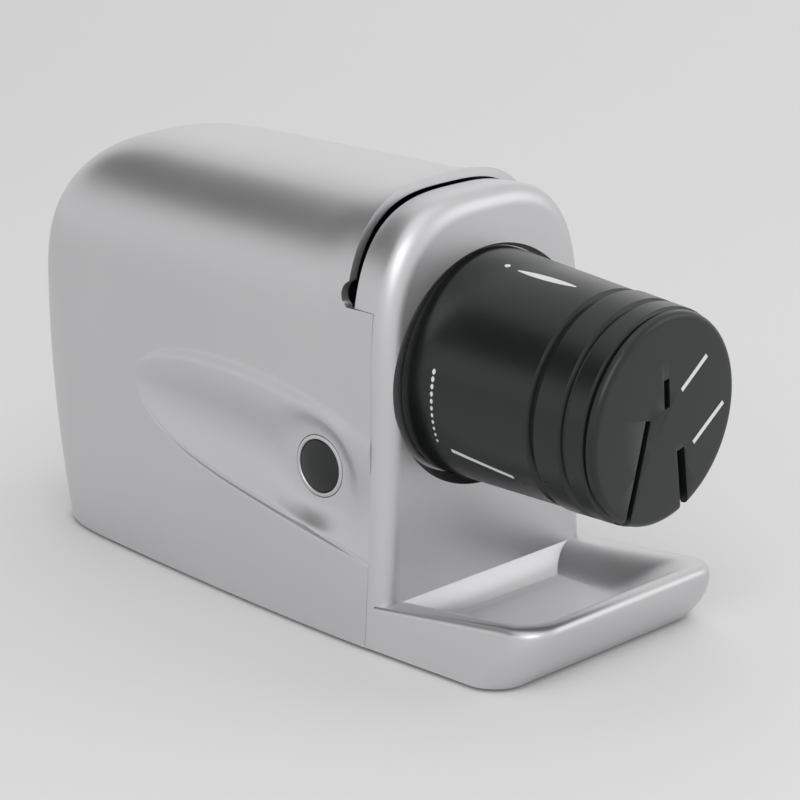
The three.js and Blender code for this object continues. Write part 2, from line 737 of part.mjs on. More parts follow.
function makeBarrel() {
  const outer = [];
  for (const [from, to] of grooveShares) {
    const [start, end] = [-from * barrelLength, -to * barrelLength];
    const [before, after] = [barrelRadius(start) + (outer.length ? gripRise : 0),
      barrelRadius(end) + gripRise];
    outer.push([before, start], [before - grooveDepth, start - grooveFlank], [after - grooveDepth,
      end + grooveFlank],
      [after, end]);
  }
  const tip = barrelRadius(-barrelLength);
  const bore = barrelRootRadius - barrelWall;
  const profile = [[bore, barrelRoot], [barrelRadius(barrelRoot) - grooveFlank, barrelRoot],
    [barrelRadius(barrelRoot), barrelRoot - grooveFlank], ...outer, [tip, -barrelLength + endRound],
    [tip - endRound * roundingShare, -barrelLength + endRound * roundingShare], [tip - endRound,
      -barrelLength], [0, -barrelLength],
    [0, -barrelLength + endWall], [tip - barrelWall, -barrelLength + endWall], [bore, -barrelRoot * 2],
    [bore, barrelRoot]];
  let barrel = turned(profile, 32);
  for (const cutter of slitCutters(0)) barrel = barrel.subtract(cutter);
  return barrel;
}

function makeInsert() {
  const from = -barrelLength + endWall + seatGap;
  const radius = barrelRadius(-barrelLength) - barrelWall - seatGap;
  let insert = turned([[0, from], [radius, from], [radius, from + insertThickness - endRound],
    [radius - endRound, from + insertThickness], [0, from + insertThickness]], 32);
  for (const cutter of slitCutters(seatGap)) insert = insert.subtract(cutter);
  return insert;
}

function makeGuideRing() {
  const collar = barrelRootRadius - barrelWall - seatGap;
  const neck = openingRadius - runGap;
  const front = dishDepth - seatGap;
  const back = dishDepth + dishWall + seatGap;
  return turned([[ringBore, -ringReach], [collar - edgeRound, -ringReach], [collar,
    -ringReach + edgeRound], [collar, front],
    [neck, front], [neck, back], [ringFlange, back], [ringFlange, back + ringFlangeThickness],
    [ringBore, back + ringFlangeThickness], [ringBore, -ringReach]], 28);
}

// Grinding wheel on its spindle
const nutThickness = 2.1;
const nutRadius = 6.4;
const nutRoom = 3;
const wheelRecess = 1.5;
const wheelBore = spindleRadius + seatGap;
const wheelBack = -wheelFront + wheelThickness;
const spindleFlange = 8;
const spindleFlangeThickness = 2;
const spindleBack = 9.8;
const canBossLength = 3;
const canBossFront = canFront - canBossLength;
const canBossRadius = 5;
const bushRadius = 3.5;
const shaftFront = -16;
const shaftTail = 1.2;
const shaftBack = canFront + canLength + shaftTail;

function makeWheel() {
  const floor = -wheelFront + wheelRecess;
  return turned([[wheelBore, floor], [nutRadius + nutRoom, floor], [nutRadius + nutRoom + wheelRecess,
    -wheelFront],
    [wheelRadius - edgeRound, -wheelFront], [wheelRadius, -wheelFront + edgeRound], [wheelBackRadius,
      wheelBack],
    [wheelBore, wheelBack], [wheelBore, floor]], 28);
}

function makeSpindle() {
  const flange = wheelBack + seatGap;
  const tip = -wheelFront - nutThickness;
  return turned([[0, tip], [spindleRadius - edgeBreak, tip], [spindleRadius, tip + edgeBreak],
    [spindleRadius, flange],
    [spindleFlange, flange], [spindleFlange, flange + spindleFlangeThickness],
    [spindleRadius, flange + spindleFlangeThickness], [spindleRadius, spindleBack],
    [shaftRadius + seatGap, spindleBack], [shaftRadius + seatGap, shaftFront - seatGap], [0,
      shaftFront - seatGap]], 16);
}

function makeNut() {
  const back = -wheelFront + wheelRecess - seatGap;
  return turned(tubeProfile(wheelBore, nutRadius, back - nutThickness, back), 6)
    .subtract(turned(rodProfile(wheelBore, back - nutThickness - overrun, back + overrun), 16));
}

// Motor: can, end cap, magnets, rotor
const canBack = canFront + canLength;
const canBore = canRadius - canWall;
const magnetThickness = 2;
const airGap = 0.5;
const rotorRadius = canBore - magnetThickness - seatGap - airGap;
const rotorLead = 5;
const rotorFrom = canFront + rotorLead;
const rotorRoom = 18;
const rotorLength = canLength - rotorRoom;
const rotorSlotHalf = 1.4;
const magnetLap = 1;
const commutatorLead = 2;
const commutatorFrom = rotorFrom + rotorLength + commutatorLead;
const commutatorLength = 5;
const commutatorRadius = 3.6;
const motorScrewX = 8.5;
const endCapThickness = 3;
const capBearingRadius = 4.5;
const capBearingLength = 3;
const canFloor = 1.2;
const brushInset = 1.5;
const brushHalf = 1.2;
const tabX = 8;
const tabHalf = 1.5;
const tabThickness = 0.6;
const tabReach = 5;

function makeCan() {
  let can = turned([[bushRadius + seatGap, canBossFront], [canBossRadius, canBossFront], [canBossRadius,
    canFront],
    [canRadius - edgeRound, canFront], [canRadius, canFront + edgeRound], [canRadius, canBack], [canBore,
      canBack],
    [canBore, canFront + canFloor], [bushRadius + seatGap, canFront + canFloor],
    [bushRadius + seatGap, canBossFront]], 20);
  for (const side of [-1, 1]) {
    can = can.subtract(turned(rodProfile(screwRadius + seatGap, canFront - overrun, canFront + overrun), 10,
      at(side * motorScrewX, 0, 0)));
  }
  return can;
}

function makeEndCap() {
  const back = canBack + capBearingLength;
  return turned([[0, back], [capBearingRadius, back], [capBearingRadius, canBack],
    [canBore - seatGap, canBack], [canBore - seatGap, canBack - endCapThickness],
    [shaftRadius + seatGap, canBack - endCapThickness], [shaftRadius + seatGap, shaftBack + seatGap],
    [0, shaftBack + seatGap]].reverse(), 20);
}

function makeMagnet(side) {
  const ring = turned(tubeProfile(canBore - seatGap - magnetThickness, canBore - seatGap,
    rotorFrom - magnetLap,
    rotorFrom + rotorLength + magnetLap), 28);
  const low = [side > 0 ? canRadius / 3 : -canRadius, 0, -canRadius];
  const high = [side > 0 ? canRadius : -canRadius / 3, canBack, canRadius];
  return ring.intersect(block(low, high));
}

function makeRotor() {
  let rotor = turned(tubeProfile(shaftRadius + seatGap, rotorRadius, rotorFrom, rotorFrom + rotorLength),
    24);
  for (let i = 0; i < 3; i += 1) {
    rotor = rotor.subtract(block([rotorRadius / 2, rotorFrom - overrun, -rotorSlotHalf],
      [rotorRadius + overrun, rotorFrom + rotorLength + overrun, rotorSlotHalf], at(0, 0, 0, 0,
        (i * 2 * Math.PI) / 3)));
  }
  return rotor;
}

const bracketMargin = 1;
const bracketNotchSide = 2;

function makeBracket() {
  const corner = bracketBossRadius + bracketMargin;
  const wide = bracketBossX + corner;
  const high = bracketBossRise + corner;
  const outline = new THREE.Shape();
  outline.moveTo(-wide + corner, -high);
  outline.absarc(wide - corner, -high + corner, corner, -quarter, 0, false);
  outline.absarc(wide - corner, high - corner, corner, 0, quarter, false);
  outline.absarc(-wide + corner, high - corner, corner, quarter, quarter * 2, false);
  outline.absarc(-wide + corner, -high + corner, corner, quarter * 2, quarter * 3, false);
  const extrusion = { depth: bracketThickness, bevelEnabled: false, curveSegments: 4 };
  const geometry = new THREE.ExtrudeGeometry(outline, extrusion);
  let bracket = solidOf(geometry, at(0, bracketFace + bracketThickness, 0, quarter));
  bracket = bracket.subtract(turned(rodProfile(canBossRadius + seatGap, bracketFace - overrun, canFront),
    16));
  bracket = bracket.subtract(block([-slotBlockHalf - bracketNotchSide, bracketFace - overrun,
    canRadius + edgeRound],
    [slotBlockHalf + bracketNotchSide, canFront, high + overrun]));
  for (const side of [-1, 1]) {
    bracket = bracket.subtract(turned(rodProfile(screwRadius + seatGap, bracketFace - overrun, canFront),
      10,
      at(side * motorScrewX, 0, 0)));
    for (const rise of [-bracketBossRise, bracketBossRise]) {
      bracket = bracket.subtract(turned(rodProfile(screwRadius + seatGap, bracketFace - overrun,
        canFront), 10,
        at(side * bracketBossX, 0, rise)));
    }
  }
  return bracket;
}

// Manual slot: a block with two ceramic rods crossed in a V
const slotBlockHalf = 13;
const slotBlockCover = 3;
const slotBlockTop = slotPostRise + slotBlockCover;
const slotBlockLead = 5.5;
const slotBlockFoot = axisHeight + canRadius + slotBlockLead;
const slotBlockRear = 4.6;
const slotBlockBack = hoopDepth + slotWidth + slotBlockRear;
const slotMiddle = hoopDepth + slotWidth / 2;
const slotDepth = 9;
const slotFloor = slotBlockTop - slotDepth;
const rodRadius = 1.5;
const rodLean = THREE.MathUtils.degToRad(14);
const rodX = 2.2;
const rodLength = 10.6;
const knifeSlotHalf = 1;

function makeSlotBlock() {
  let body = block([-slotBlockHalf, slotBlockFront, slotBlockFoot], [slotBlockHalf, slotBlockBack,
    slotBlockTop]);
  body = body.subtract(block([-slotBlockHalf - overrun, slotMiddle - knifeSlotHalf, slotFloor],
    [slotBlockHalf + overrun, slotMiddle + knifeSlotHalf, slotBlockTop + overrun]));
  for (const side of [-1, 1]) {
    body = body.subtract(turned(rodProfile(rodRadius + seatGap, -overrun, rodLength + overrun), 12,
      rodPlace(side)));
    body = body.subtract(turned(rodProfile(screwRadius + seatGap, slotBlockFront - overrun,
      slotBlockBack + overrun), 10,
      at(side * slotPostX, 0, slotPostRise)));
  }
  return body;
}

function rodPlace(side) {
  return at(side * rodX, slotMiddle - side * rodRadius, slotFloor - rodRadius, quarter - side * rodLean);
}

// Power button on the -X side, drawn along X
const buttonFlange = 7.8;
const buttonFlangeThickness = 1.3;
const stemRadius = 2.4;
const buttonCrown = 1.6;
const crownShares = [[0, 1], [0.55, 0.8], [0.9, 0.35], [1, 0]];
const switchInset = 15.4;
const switchFace = switchInset - sideHalf;
const switchDepth = 8;
const switchHalf = 6;
const switchHalfHeight = 4.8;

function makeButton() {
  const face = -buttonFace();
  const flange = face + housingWall + seatGap;
  const stemEnd = switchFace - plungerReach - buttonTravel - seatGap;
  const crown = crownShares.map(([radiusShare, riseShare]) => [buttonRadius * radiusShare,
    face - buttonCrown * riseShare]);
  return turned([...crown, [buttonRadius, flange], [buttonFlange, flange], [buttonFlange,
    flange + buttonFlangeThickness],
    [stemRadius, flange + buttonFlangeThickness], [stemRadius, stemEnd], [0, stemEnd]], 24,
  at(0, buttonY, buttonZ, 0, 0, -quarter));
}

const springWire = 0.35;

// A spring along +Y: a wire of four sides wound on a cone
function spring(fromRadius, toRadius, length, turns, matrix) {
  class Coil extends THREE.Curve {
    getPoint(share) {
      const turn = share * turns * Math.PI * 2;
      const radius = lerp(fromRadius, toRadius, share);
      const along = lerp(springWire, length - springWire, share);
      return new THREE.Vector3(radius * Math.cos(turn), along, radius * Math.sin(turn));
    }
  }
  const section = new THREE.Shape();
  for (let i = 0; i < 4; i += 1) {
    const turn = i * quarter;
    const corner = [springWire * Math.cos(turn), springWire * Math.sin(turn)];
    if (i) section.lineTo(...corner);
    else section.moveTo(...corner);
  }
  section.closePath();
  const geometry = new THREE.ExtrudeGeometry(section, { steps: turns * 7, extrudePath: new Coil() });
  return solidOf(geometry, matrix);
}

// Switch behind the button, on a bracket that stands on the battery bay
const switchBack = switchFace + switchDepth;
const bracketFoot = bayTop + bayWall + seatGap;
const bracketWall = 1.6;
const bracketReach = 9;
const plungerRadius = 1.7;
const plungerReach = 0.6;
const legReach = 3;
const legInset = 0.4;
const legThickness = 0.5;
const shelfReach = 2;

function makeSwitch() {
  const plunger = turned(rodProfile(plungerRadius, switchFace - plungerReach, switchFace + edgeRound), 12,
    at(0, buttonY, buttonZ, 0, 0, -quarter));
  const foot = buttonZ - switchHalfHeight;
  let body = block([switchFace, buttonY - switchHalf, foot],
    [switchBack, buttonY + switchHalf, buttonZ + switchHalfHeight]).add(plunger);
  for (const side of [-1, 1]) {
    const y = buttonY + side * switchHalf / 2;
    body = body.add(block([switchBack - legInset - legThickness, y - legThickness, foot - legReach],
      [switchBack - legInset, y + legThickness, foot + edgeRound]));
  }
  return body;
}

function makeSwitchBracket() {
  const back = switchBack + seatGap;
  const [low, high] = [buttonY - switchHalf, buttonY + switchHalf];
  const wall = block([back, low, bracketFoot], [back + bracketWall, high, buttonZ + switchHalfHeight]);
  const foot = block([back, low, bracketFoot], [back + bracketReach, high, bracketFoot + bracketWall]);
  const shelfTop = buttonZ - switchHalfHeight - seatGap;
  const shelf = block([switchFace + shelfReach, low, shelfTop - bracketWall],
    [back + bracketWall / 2, low + shelfReach, shelfTop]);
  return wall.add(foot).add(shelf);
}

function makeBezel() {
  const seat = -buttonFace() + bezelSeat - seatGap;
  const crest = seat - bezelSeat - bezelRise;
  return turned([[buttonRadius + runGap, crest], [bezelRadius - edgeBreak, crest],
    [bezelRadius, crest + edgeBreak], [bezelRadius, seat], [buttonRadius + runGap, seat],
    [buttonRadius + runGap, crest]], 24, at(0, buttonY, buttonZ, 0, 0, -quarter));
}

// Battery contacts at the ends of the bay
const contactThickness = 0.5;
const contactHalf = 5;
const cellRadius = 7.25;
const cellX = bayHalf / 2;
const cellLift = 0.5;
const cellZ = floorGap + doorThickness + cellLift + cellRadius;
const coilLength = 5.5;
const coilWide = 4.6;
const coilTip = 2.2;
const buttonSpringRadius = 4.2;

function contactPlate(x, half, y) {
  return block([x - half, y, cellZ - contactHalf], [x + half, y + contactThickness, cellZ + contactHalf]);
}

addPiece('front_frame', makeFrontFrame(), silverPlastic);
addPiece('rear_housing', makeHousing(), silverPlastic);
addPiece('base_plate', makeBasePlate(), greyPlastic);
addPiece('battery_door', makeBatteryDoor(), greyPlastic);
addPiece('foot_front_left', makeFoot(-frontFootX, frontFootY), rubber);
addPiece('foot_front_right', makeFoot(frontFootX, frontFootY), rubber);
addPiece('foot_rear_left', makeFoot(-rearFootX, rearFootY), rubber);
addPiece('foot_rear_right', makeFoot(rearFootX, rearFootY), rubber);

addPiece('guide_barrel', makeBarrel(), blackPlastic, axisGroup);
addPiece('knife_guide_insert', makeInsert(), darkPlastic, axisGroup);
addPiece('guide_ring', makeGuideRing(), darkPlastic, axisGroup);
addPiece('grinding_wheel', makeWheel(), stone, axisGroup);
addPiece('wheel_spindle', makeSpindle(), bronze, axisGroup);
addPiece('wheel_nut', makeNut(), zincSteel, axisGroup);
addPiece('motor_shaft', turned(rodProfile(shaftRadius, shaftFront, shaftBack), 12), steel, axisGroup);
addPiece('rotor_core', makeRotor(), magnetGrey, axisGroup);
addPiece('commutator', turned(tubeProfile(shaftRadius + seatGap, commutatorRadius, commutatorFrom,
  commutatorFrom + commutatorLength), 16), bronze, axisGroup);
addPiece('motor_can', makeCan(), zincSteel, axisGroup);
addPiece('motor_end_cap', makeEndCap(), darkPlastic, axisGroup);
addPiece('bearing_bush', turned(tubeProfile(shaftRadius + seatGap, bushRadius, canBossFront + seatGap,
  canFront + canWall), 16), bronze, axisGroup);
addPiece('motor_bracket', makeBracket(), zincSteel, axisGroup);
for (const [side, name] of [[-1, 'left'], [1, 'right']]) {
  addPiece(`motor_magnet_${name}`, makeMagnet(side), magnetGrey, axisGroup);
  const brushFrom = commutatorRadius + seatGap;
  const brush = block([brushFrom, commutatorFrom + brushInset, -brushHalf],
    [canBore - seatGap, commutatorFrom + commutatorLength - brushInset, brushHalf], at(0, 0, 0, 0,
      side < 0 ? Math.PI : 0));
  addPiece(`motor_brush_${name}`, brush, bronze, axisGroup);
  const tabAt = side * tabX;
  addPiece(`motor_terminal_${name}`, block([tabAt - tabHalf, canBack + seatGap, -tabThickness / 2],
    [tabAt + tabHalf, canBack + tabReach, tabThickness / 2]), steel, axisGroup);
  addPiece(`motor_screw_${name}`, screw(screwHead, screwHeadHeight, motorScrewLength,
    at(side * motorScrewX, bracketFace - seatGap - screwHeadHeight, 0)), steel, axisGroup);
  for (const [rise, level] of [[-bracketBossRise, 'lower'], [bracketBossRise, 'upper']]) {
    const head = bracketFace + bracketThickness + seatGap + screwHeadHeight;
    addPiece(`bracket_screw_${level}_${name}`, screw(screwHead, screwHeadHeight, bracketScrewLength,
      at(side * bracketBossX, head, rise, 0, 0, Math.PI)), steel, axisGroup);
  }
  addPiece(`ceramic_rod_${name}`, turned(rodProfile(rodRadius, 0, rodLength), 12, rodPlace(side)), ceramic);
  addPiece(`slot_screw_${name}`, screw(screwHead, screwHeadHeight, slotScrewLength,
    at(side * slotPostX, slotBlockBack + seatGap + screwHeadHeight, slotPostRise, 0, 0, Math.PI)), steel);
}
addPiece('slot_block', makeSlotBlock(), darkPlastic);

addPiece('power_button', makeButton(), blackPlastic);
addPiece('button_bezel', makeBezel(), silverPlastic);
const springFrom = -buttonFace() + housingWall + seatGap * 2 + buttonFlangeThickness;
addPiece('button_spring', spring(buttonSpringRadius, buttonSpringRadius,
  switchFace - seatGap - springFrom, 4,
  at(springFrom, buttonY, buttonZ, 0, 0, -quarter)), steel);
addPiece('power_switch', makeSwitch(), darkPlastic);
addPiece('switch_bracket', makeSwitchBracket(), greyPlastic);

const frontPlateY = bayStart + seatGap;
const rearPlateY = bayEnd - seatGap - contactThickness;
addPiece('contact_plate_front_left', contactPlate(-cellX, contactHalf, frontPlateY), steel);
addPiece('contact_plate_front_right', contactPlate(cellX, contactHalf, frontPlateY), steel);
addPiece('contact_bridge_rear', contactPlate(0, cellX + contactHalf, rearPlateY), steel);
addPiece('contact_spring_front', spring(coilWide, coilTip, coilLength, 4,
  at(-cellX, frontPlateY + contactThickness + seatGap, cellZ)), steel);
addPiece('contact_spring_rear', spring(coilWide, coilTip, coilLength, 4,
  at(cellX, rearPlateY - seatGap, cellZ, 0, 0, Math.PI)), steel);

basePlaces().forEach(([x, y], i) => {
  const place = ['front', 'middle', 'rear'][Math.floor(i / 2)];
  addPiece(`base_screw_${place}_${i % 2 ? 'right' : 'left'}`, screw(screwHead, screwHeadHeight,
    baseScrewLength,
    at(x, y, floorGap + seatGap, quarter)), steel);
});

const barrelReach = barrelLength * Math.cos(axisTilt) + (barrelEndRadius - endRound) * Math.sin(axisTilt);
group.position.y = (barrelReach - bodyBack) / 2;

export default group;
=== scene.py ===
import json
import math

import bmesh
import bpy
from mathutils import Matrix, Vector

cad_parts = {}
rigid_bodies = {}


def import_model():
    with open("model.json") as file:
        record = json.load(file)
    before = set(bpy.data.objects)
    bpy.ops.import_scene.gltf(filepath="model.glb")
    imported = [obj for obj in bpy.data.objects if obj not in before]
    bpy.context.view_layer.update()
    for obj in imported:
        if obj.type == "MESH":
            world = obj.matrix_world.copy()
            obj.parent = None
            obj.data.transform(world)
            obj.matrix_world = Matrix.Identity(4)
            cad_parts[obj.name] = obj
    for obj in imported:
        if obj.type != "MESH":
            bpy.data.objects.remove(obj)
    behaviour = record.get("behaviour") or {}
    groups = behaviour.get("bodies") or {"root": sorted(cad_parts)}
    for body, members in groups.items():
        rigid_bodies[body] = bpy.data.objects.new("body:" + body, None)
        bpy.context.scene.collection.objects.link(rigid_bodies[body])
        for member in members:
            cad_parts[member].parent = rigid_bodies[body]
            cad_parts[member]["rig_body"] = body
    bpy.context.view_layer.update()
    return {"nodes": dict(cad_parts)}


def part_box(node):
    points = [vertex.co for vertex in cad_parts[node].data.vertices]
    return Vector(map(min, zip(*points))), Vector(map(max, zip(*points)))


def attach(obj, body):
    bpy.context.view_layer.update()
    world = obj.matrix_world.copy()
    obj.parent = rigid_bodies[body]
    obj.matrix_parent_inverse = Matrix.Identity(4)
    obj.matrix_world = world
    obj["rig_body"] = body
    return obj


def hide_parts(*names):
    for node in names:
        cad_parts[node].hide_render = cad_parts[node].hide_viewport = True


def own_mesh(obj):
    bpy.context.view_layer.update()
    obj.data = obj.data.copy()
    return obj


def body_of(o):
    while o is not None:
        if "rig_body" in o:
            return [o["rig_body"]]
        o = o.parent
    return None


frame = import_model()
cadNodes = frame["nodes"]


# camera, floor and studio light

cameraSettings = {"turn": -46.4, "rise": 17.0, "away": 0.752, "look": (0, -0.01184, 0.050), "lens": 134.5,
                  "sensor": 36, "near": 0.01}
studio = {"world": 0.78, "seen": 0.82, "lampAim": (0, 0, 0.05)}
sheets = {"floor": {"finish": "paper", "size": (10, 10), "colour": (0.80, 0.80, 0.80), "rough": 0.9,
                    "gloss": 0.1},
          "flag": {"finish": "black_card", "size": (1.7, 0.75), "colour": (0.02, 0.02, 0.02), "rough": 1.0,
                   "gloss": 0.5, "at": (-0.42, 0.92, 0.92), "aim": (0, 0, 0.08)}}
softboxes = {"key": ((-1.15, -0.95, 1.25), 1.6, 9.0), "top": ((0.05, -0.1, 1.5), 1.2, 1.0),
             "fill": ((1.2, -1.1, 0.7), 1.2, 2.5), "rim": ((1.25, 0.95, 0.75), 1.1, 0.5)}


def placeCamera():
    data = bpy.data.cameras.new("camera")
    data.lens = cameraSettings["lens"]
    data.sensor_width = cameraSettings["sensor"]
    data.clip_start = cameraSettings["near"]
    camera = bpy.data.objects.new("camera", data)
    bpy.context.collection.objects.link(camera)
    turn = math.radians(cameraSettings["turn"])
    rise = math.radians(cameraSettings["rise"])
    look = Vector(cameraSettings["look"])
    toCamera = Vector((math.sin(turn) * math.cos(rise), -math.cos(turn) * math.cos(rise), math.sin(rise)))
    camera.location = look + toCamera * cameraSettings["away"]
    camera.rotation_euler = (-toCamera).to_track_quat("-Z", "Y").to_euler()
    bpy.context.scene.camera = camera


def softbox(name, place, size, power):
    data = bpy.data.lights.new(name, "AREA")
    data.shape = "DISK"
    data.size = size
    data.energy = power
    lamp = bpy.data.objects.new(name, data)
    bpy.context.collection.objects.link(lamp)
    lamp.location = place
    lamp.rotation_euler = (Vector(studio["lampAim"]) - Vector(place)).to_track_quat("-Z", "Y").to_euler()


def lightStudio():
    world = bpy.data.worlds.new("studio")
    bpy.context.scene.world = world
    world.use_nodes = True
    tree = world.node_tree
    tree.nodes.clear()
    lit = tree.nodes.new("ShaderNodeBackground")
    lit.inputs["Color"].default_value = (1, 1, 1, 1)
    lit.inputs["Strength"].default_value = studio["world"]
    seen = tree.nodes.new("ShaderNodeBackground")
    seen.inputs["Color"].default_value = (studio["seen"], studio["seen"], studio["seen"], 1)
    seen.inputs["Strength"].default_value = 1.0
    rays = tree.nodes.new("ShaderNodeLightPath")
    mix = tree.nodes.new("ShaderNodeMixShader")
    out = tree.nodes.new("ShaderNodeOutputWorld")
    shown = rays.outputs["Is Camera Ray"]
    for ray in ("Is Glossy Ray", "Is Transmission Ray"):
        either = tree.nodes.new("ShaderNodeMath")
        either.operation = "MAXIMUM"
        tree.links.new(shown, either.inputs[0])
        tree.links.new(rays.outputs[ray], either.inputs[1])
        shown = either.outputs[0]
    tree.links.new(shown, mix.inputs["Fac"])
    tree.links.new(lit.outputs["Background"], mix.inputs[1])
    tree.links.new(seen.outputs["Background"], mix.inputs[2])
    tree.links.new(mix.outputs["Shader"], out.inputs["Surface"])
    for name, (place, size, power) in softboxes.items():
        softbox(name, place, size, power)
    bpy.context.scene.view_settings.view_transform = "Standard"


def newPiece(name, points, faces):
    mesh = bpy.data.meshes.new(name)
    mesh.from_pydata(points, [], faces)
    piece = bpy.data.objects.new(name, mesh)
    bpy.context.collection.objects.link(piece)
    return piece


def makeSheet(name):
    look = sheets[name]
    wide, high = (side / 2 for side in look["size"])
    corners = [(-wide, -high, 0), (wide, -high, 0), (wide, high, 0), (-wide, high, 0)]
    sheet = newPiece(name, corners, [(0, 1, 2, 3)])
    material = bpy.data.materials.new(look["finish"])
    material.use_nodes = True
    shader = material.node_tree.nodes["Principled BSDF"]
    shader.inputs["Base Color"].default_value = (*look["colour"], 1)
    shader.inputs["Roughness"].default_value = look["rough"]
    shader.inputs["Specular IOR Level"].default_value = look["gloss"]
    sheet.data.materials.append(material)
    return sheet


def layFloor():
    floor = makeSheet("floor")


# a dark card high behind the left shoulder, out of the picture: it draws the soft dark band there
def hangFlag():
    flag = makeSheet("flag")
    place = Vector(sheets["flag"]["at"])
    turn = (place - Vector(sheets["flag"]["aim"])).to_track_quat("Z", "Y").to_matrix().to_4x4()
    flag.data.transform(Matrix.Translation(place) @ turn)
    flag.visible_camera = False
    flag.visible_shadow = False


placeCamera()
lightStudio()
layFloor()
hangFlag()
print("studio ready")


# node groups that several finishes share; a noise is (detail, roughness), with its scale first if it is fixed

texture = {"grain": (3.0, 0.6), "cloud": (4.0, 0.55), "roughSlope": 0.6, "roughStart": 0.5, "bevelSamples": 4,
           "wornEdge": 9.0, "wornPatch": (5.0, 0.65), "wornSpread": 6.0, "dustLean": 0.35,
           "dustBroad": (35.0, 5.0, 0.6), "dustSpecks": (900.0, 2.0, 0.5), "dust": (0.5, 0.49, 0.47),
           "bump": 0.6}


def newGroup(name, inputs, outputs):
    group = bpy.data.node_groups.new(name, "ShaderNodeTree")
    for label, value in inputs:
        socket = group.interface.new_socket(label, in_out="INPUT", socket_type="NodeSocketFloat")
        socket.default_value = value
    for label in outputs:
        group.interface.new_socket(label, in_out="OUTPUT", socket_type="NodeSocketFloat")
    return group, group.nodes.new("NodeGroupInput"), group.nodes.new("NodeGroupOutput")


def mathNode(tree, operation, first, second, clamped=False):
    node = tree.nodes.new("ShaderNodeMath")
    node.operation = operation
    node.use_clamp = clamped
    for socket, value in zip(node.inputs, (first, second)):
        if hasattr(value, "is_output"):
            tree.links.new(value, socket)
        else:
            socket.default_value = value
    return node.outputs["Value"]


def noiseNode(tree, scale, detail, roughness):
    node = tree.nodes.new("ShaderNodeTexNoise")
    node.inputs["Detail"].default_value = detail
    node.inputs["Roughness"].default_value = roughness
    if hasattr(scale, "is_output"):
        tree.links.new(scale, node.inputs["Scale"])
    else:
        node.inputs["Scale"].default_value = scale
    coordinates = tree.nodes.new("ShaderNodeTexCoord")
    tree.links.new(coordinates.outputs["Object"], node.inputs["Vector"])
    return node.outputs["Fac"]


def makeGrainGroup():
    group, start, end = newGroup("mouldGrain", [("Scale", 2600.0), ("Cloud", 22.0)],
                                 ["Height", "Tone", "Rough"])
    fine = noiseNode(group, start.outputs["Scale"], *texture["grain"])
    cloud = noiseNode(group, start.outputs["Cloud"], *texture["cloud"])
    sloped = mathNode(group, "MULTIPLY", cloud, texture["roughSlope"])
    group.links.new(fine, end.inputs["Height"])
    group.links.new(cloud, end.inputs["Tone"])
    group.links.new(mathNode(group, "ADD", sloped, texture["roughStart"]), end.inputs["Rough"])
    return group


def makeWearGroup():
    group, start, end = newGroup("edgeWear", [("Radius", 0.0006), ("Patch", 160.0), ("Reach", 0.5)], ["Mask"])
    bevel = group.nodes.new("ShaderNodeBevel")
    bevel.samples = texture["bevelSamples"]
    group.links.new(start.outputs["Radius"], bevel.inputs["Radius"])
    flat = group.nodes.new("ShaderNodeNewGeometry")
    dot = group.nodes.new("ShaderNodeVectorMath")
    dot.operation = "DOT_PRODUCT"
    group.links.new(bevel.outputs["Normal"], dot.inputs[0])
    group.links.new(flat.outputs["Normal"], dot.inputs[1])
    turned = mathNode(group, "SUBTRACT", 1.0, dot.outputs["Value"], True)
    wide = mathNode(group, "MULTIPLY", turned, texture["wornEdge"], True)
    patch = noiseNode(group, start.outputs["Patch"], *texture["wornPatch"])
    kept = mathNode(group, "SUBTRACT", patch, mathNode(group, "SUBTRACT", 1.0, start.outputs["Reach"]))
    spread = mathNode(group, "MULTIPLY", kept, texture["wornSpread"], True)
    group.links.new(mathNode(group, "MULTIPLY", wide, spread), end.inputs["Mask"])
    return group


def makeDustGroup():
    group, start, end = newGroup("settledDust", [("Cover", 0.4)], ["Mask"])
    flat = group.nodes.new("ShaderNodeNewGeometry")
    split = group.nodes.new("ShaderNodeSeparateXYZ")
    group.links.new(flat.outputs["Normal"], split.inputs["Vector"])
    upward = mathNode(group, "SUBTRACT", split.outputs["Z"], texture["dustLean"], True)
    broad = noiseNode(group, *texture["dustBroad"])
    specks = noiseNode(group, *texture["dustSpecks"])
    both = mathNode(group, "MULTIPLY", broad, specks)
    group.links.new(mathNode(group, "MULTIPLY", mathNode(group, "MULTIPLY", upward, both),
                             start.outputs["Cover"]), end.inputs["Mask"])
    return group


grainGroup = makeGrainGroup()
wearGroup = makeWearGroup()
dustGroup = makeDustGroup()


def placeGroup(tree, group, **values):
    node = tree.nodes.new("ShaderNodeGroup")
    node.node_tree = group
    for label, value in values.items():
        node.inputs[label].default_value = value
    return node


def mixColour(tree, amount, first, second):
    node = tree.nodes.new("ShaderNodeMix")
    node.data_type = "RGBA"
    tree.links.new(amount, node.inputs["Factor"])
    for socket, value in ((node.inputs[6], first), (node.inputs[7], second)):
        if hasattr(value, "is_output"):
            tree.links.new(value, socket)
        else:
            socket.default_value = (*value, 1)
    return node.outputs[2]


# one dictionary for each finish

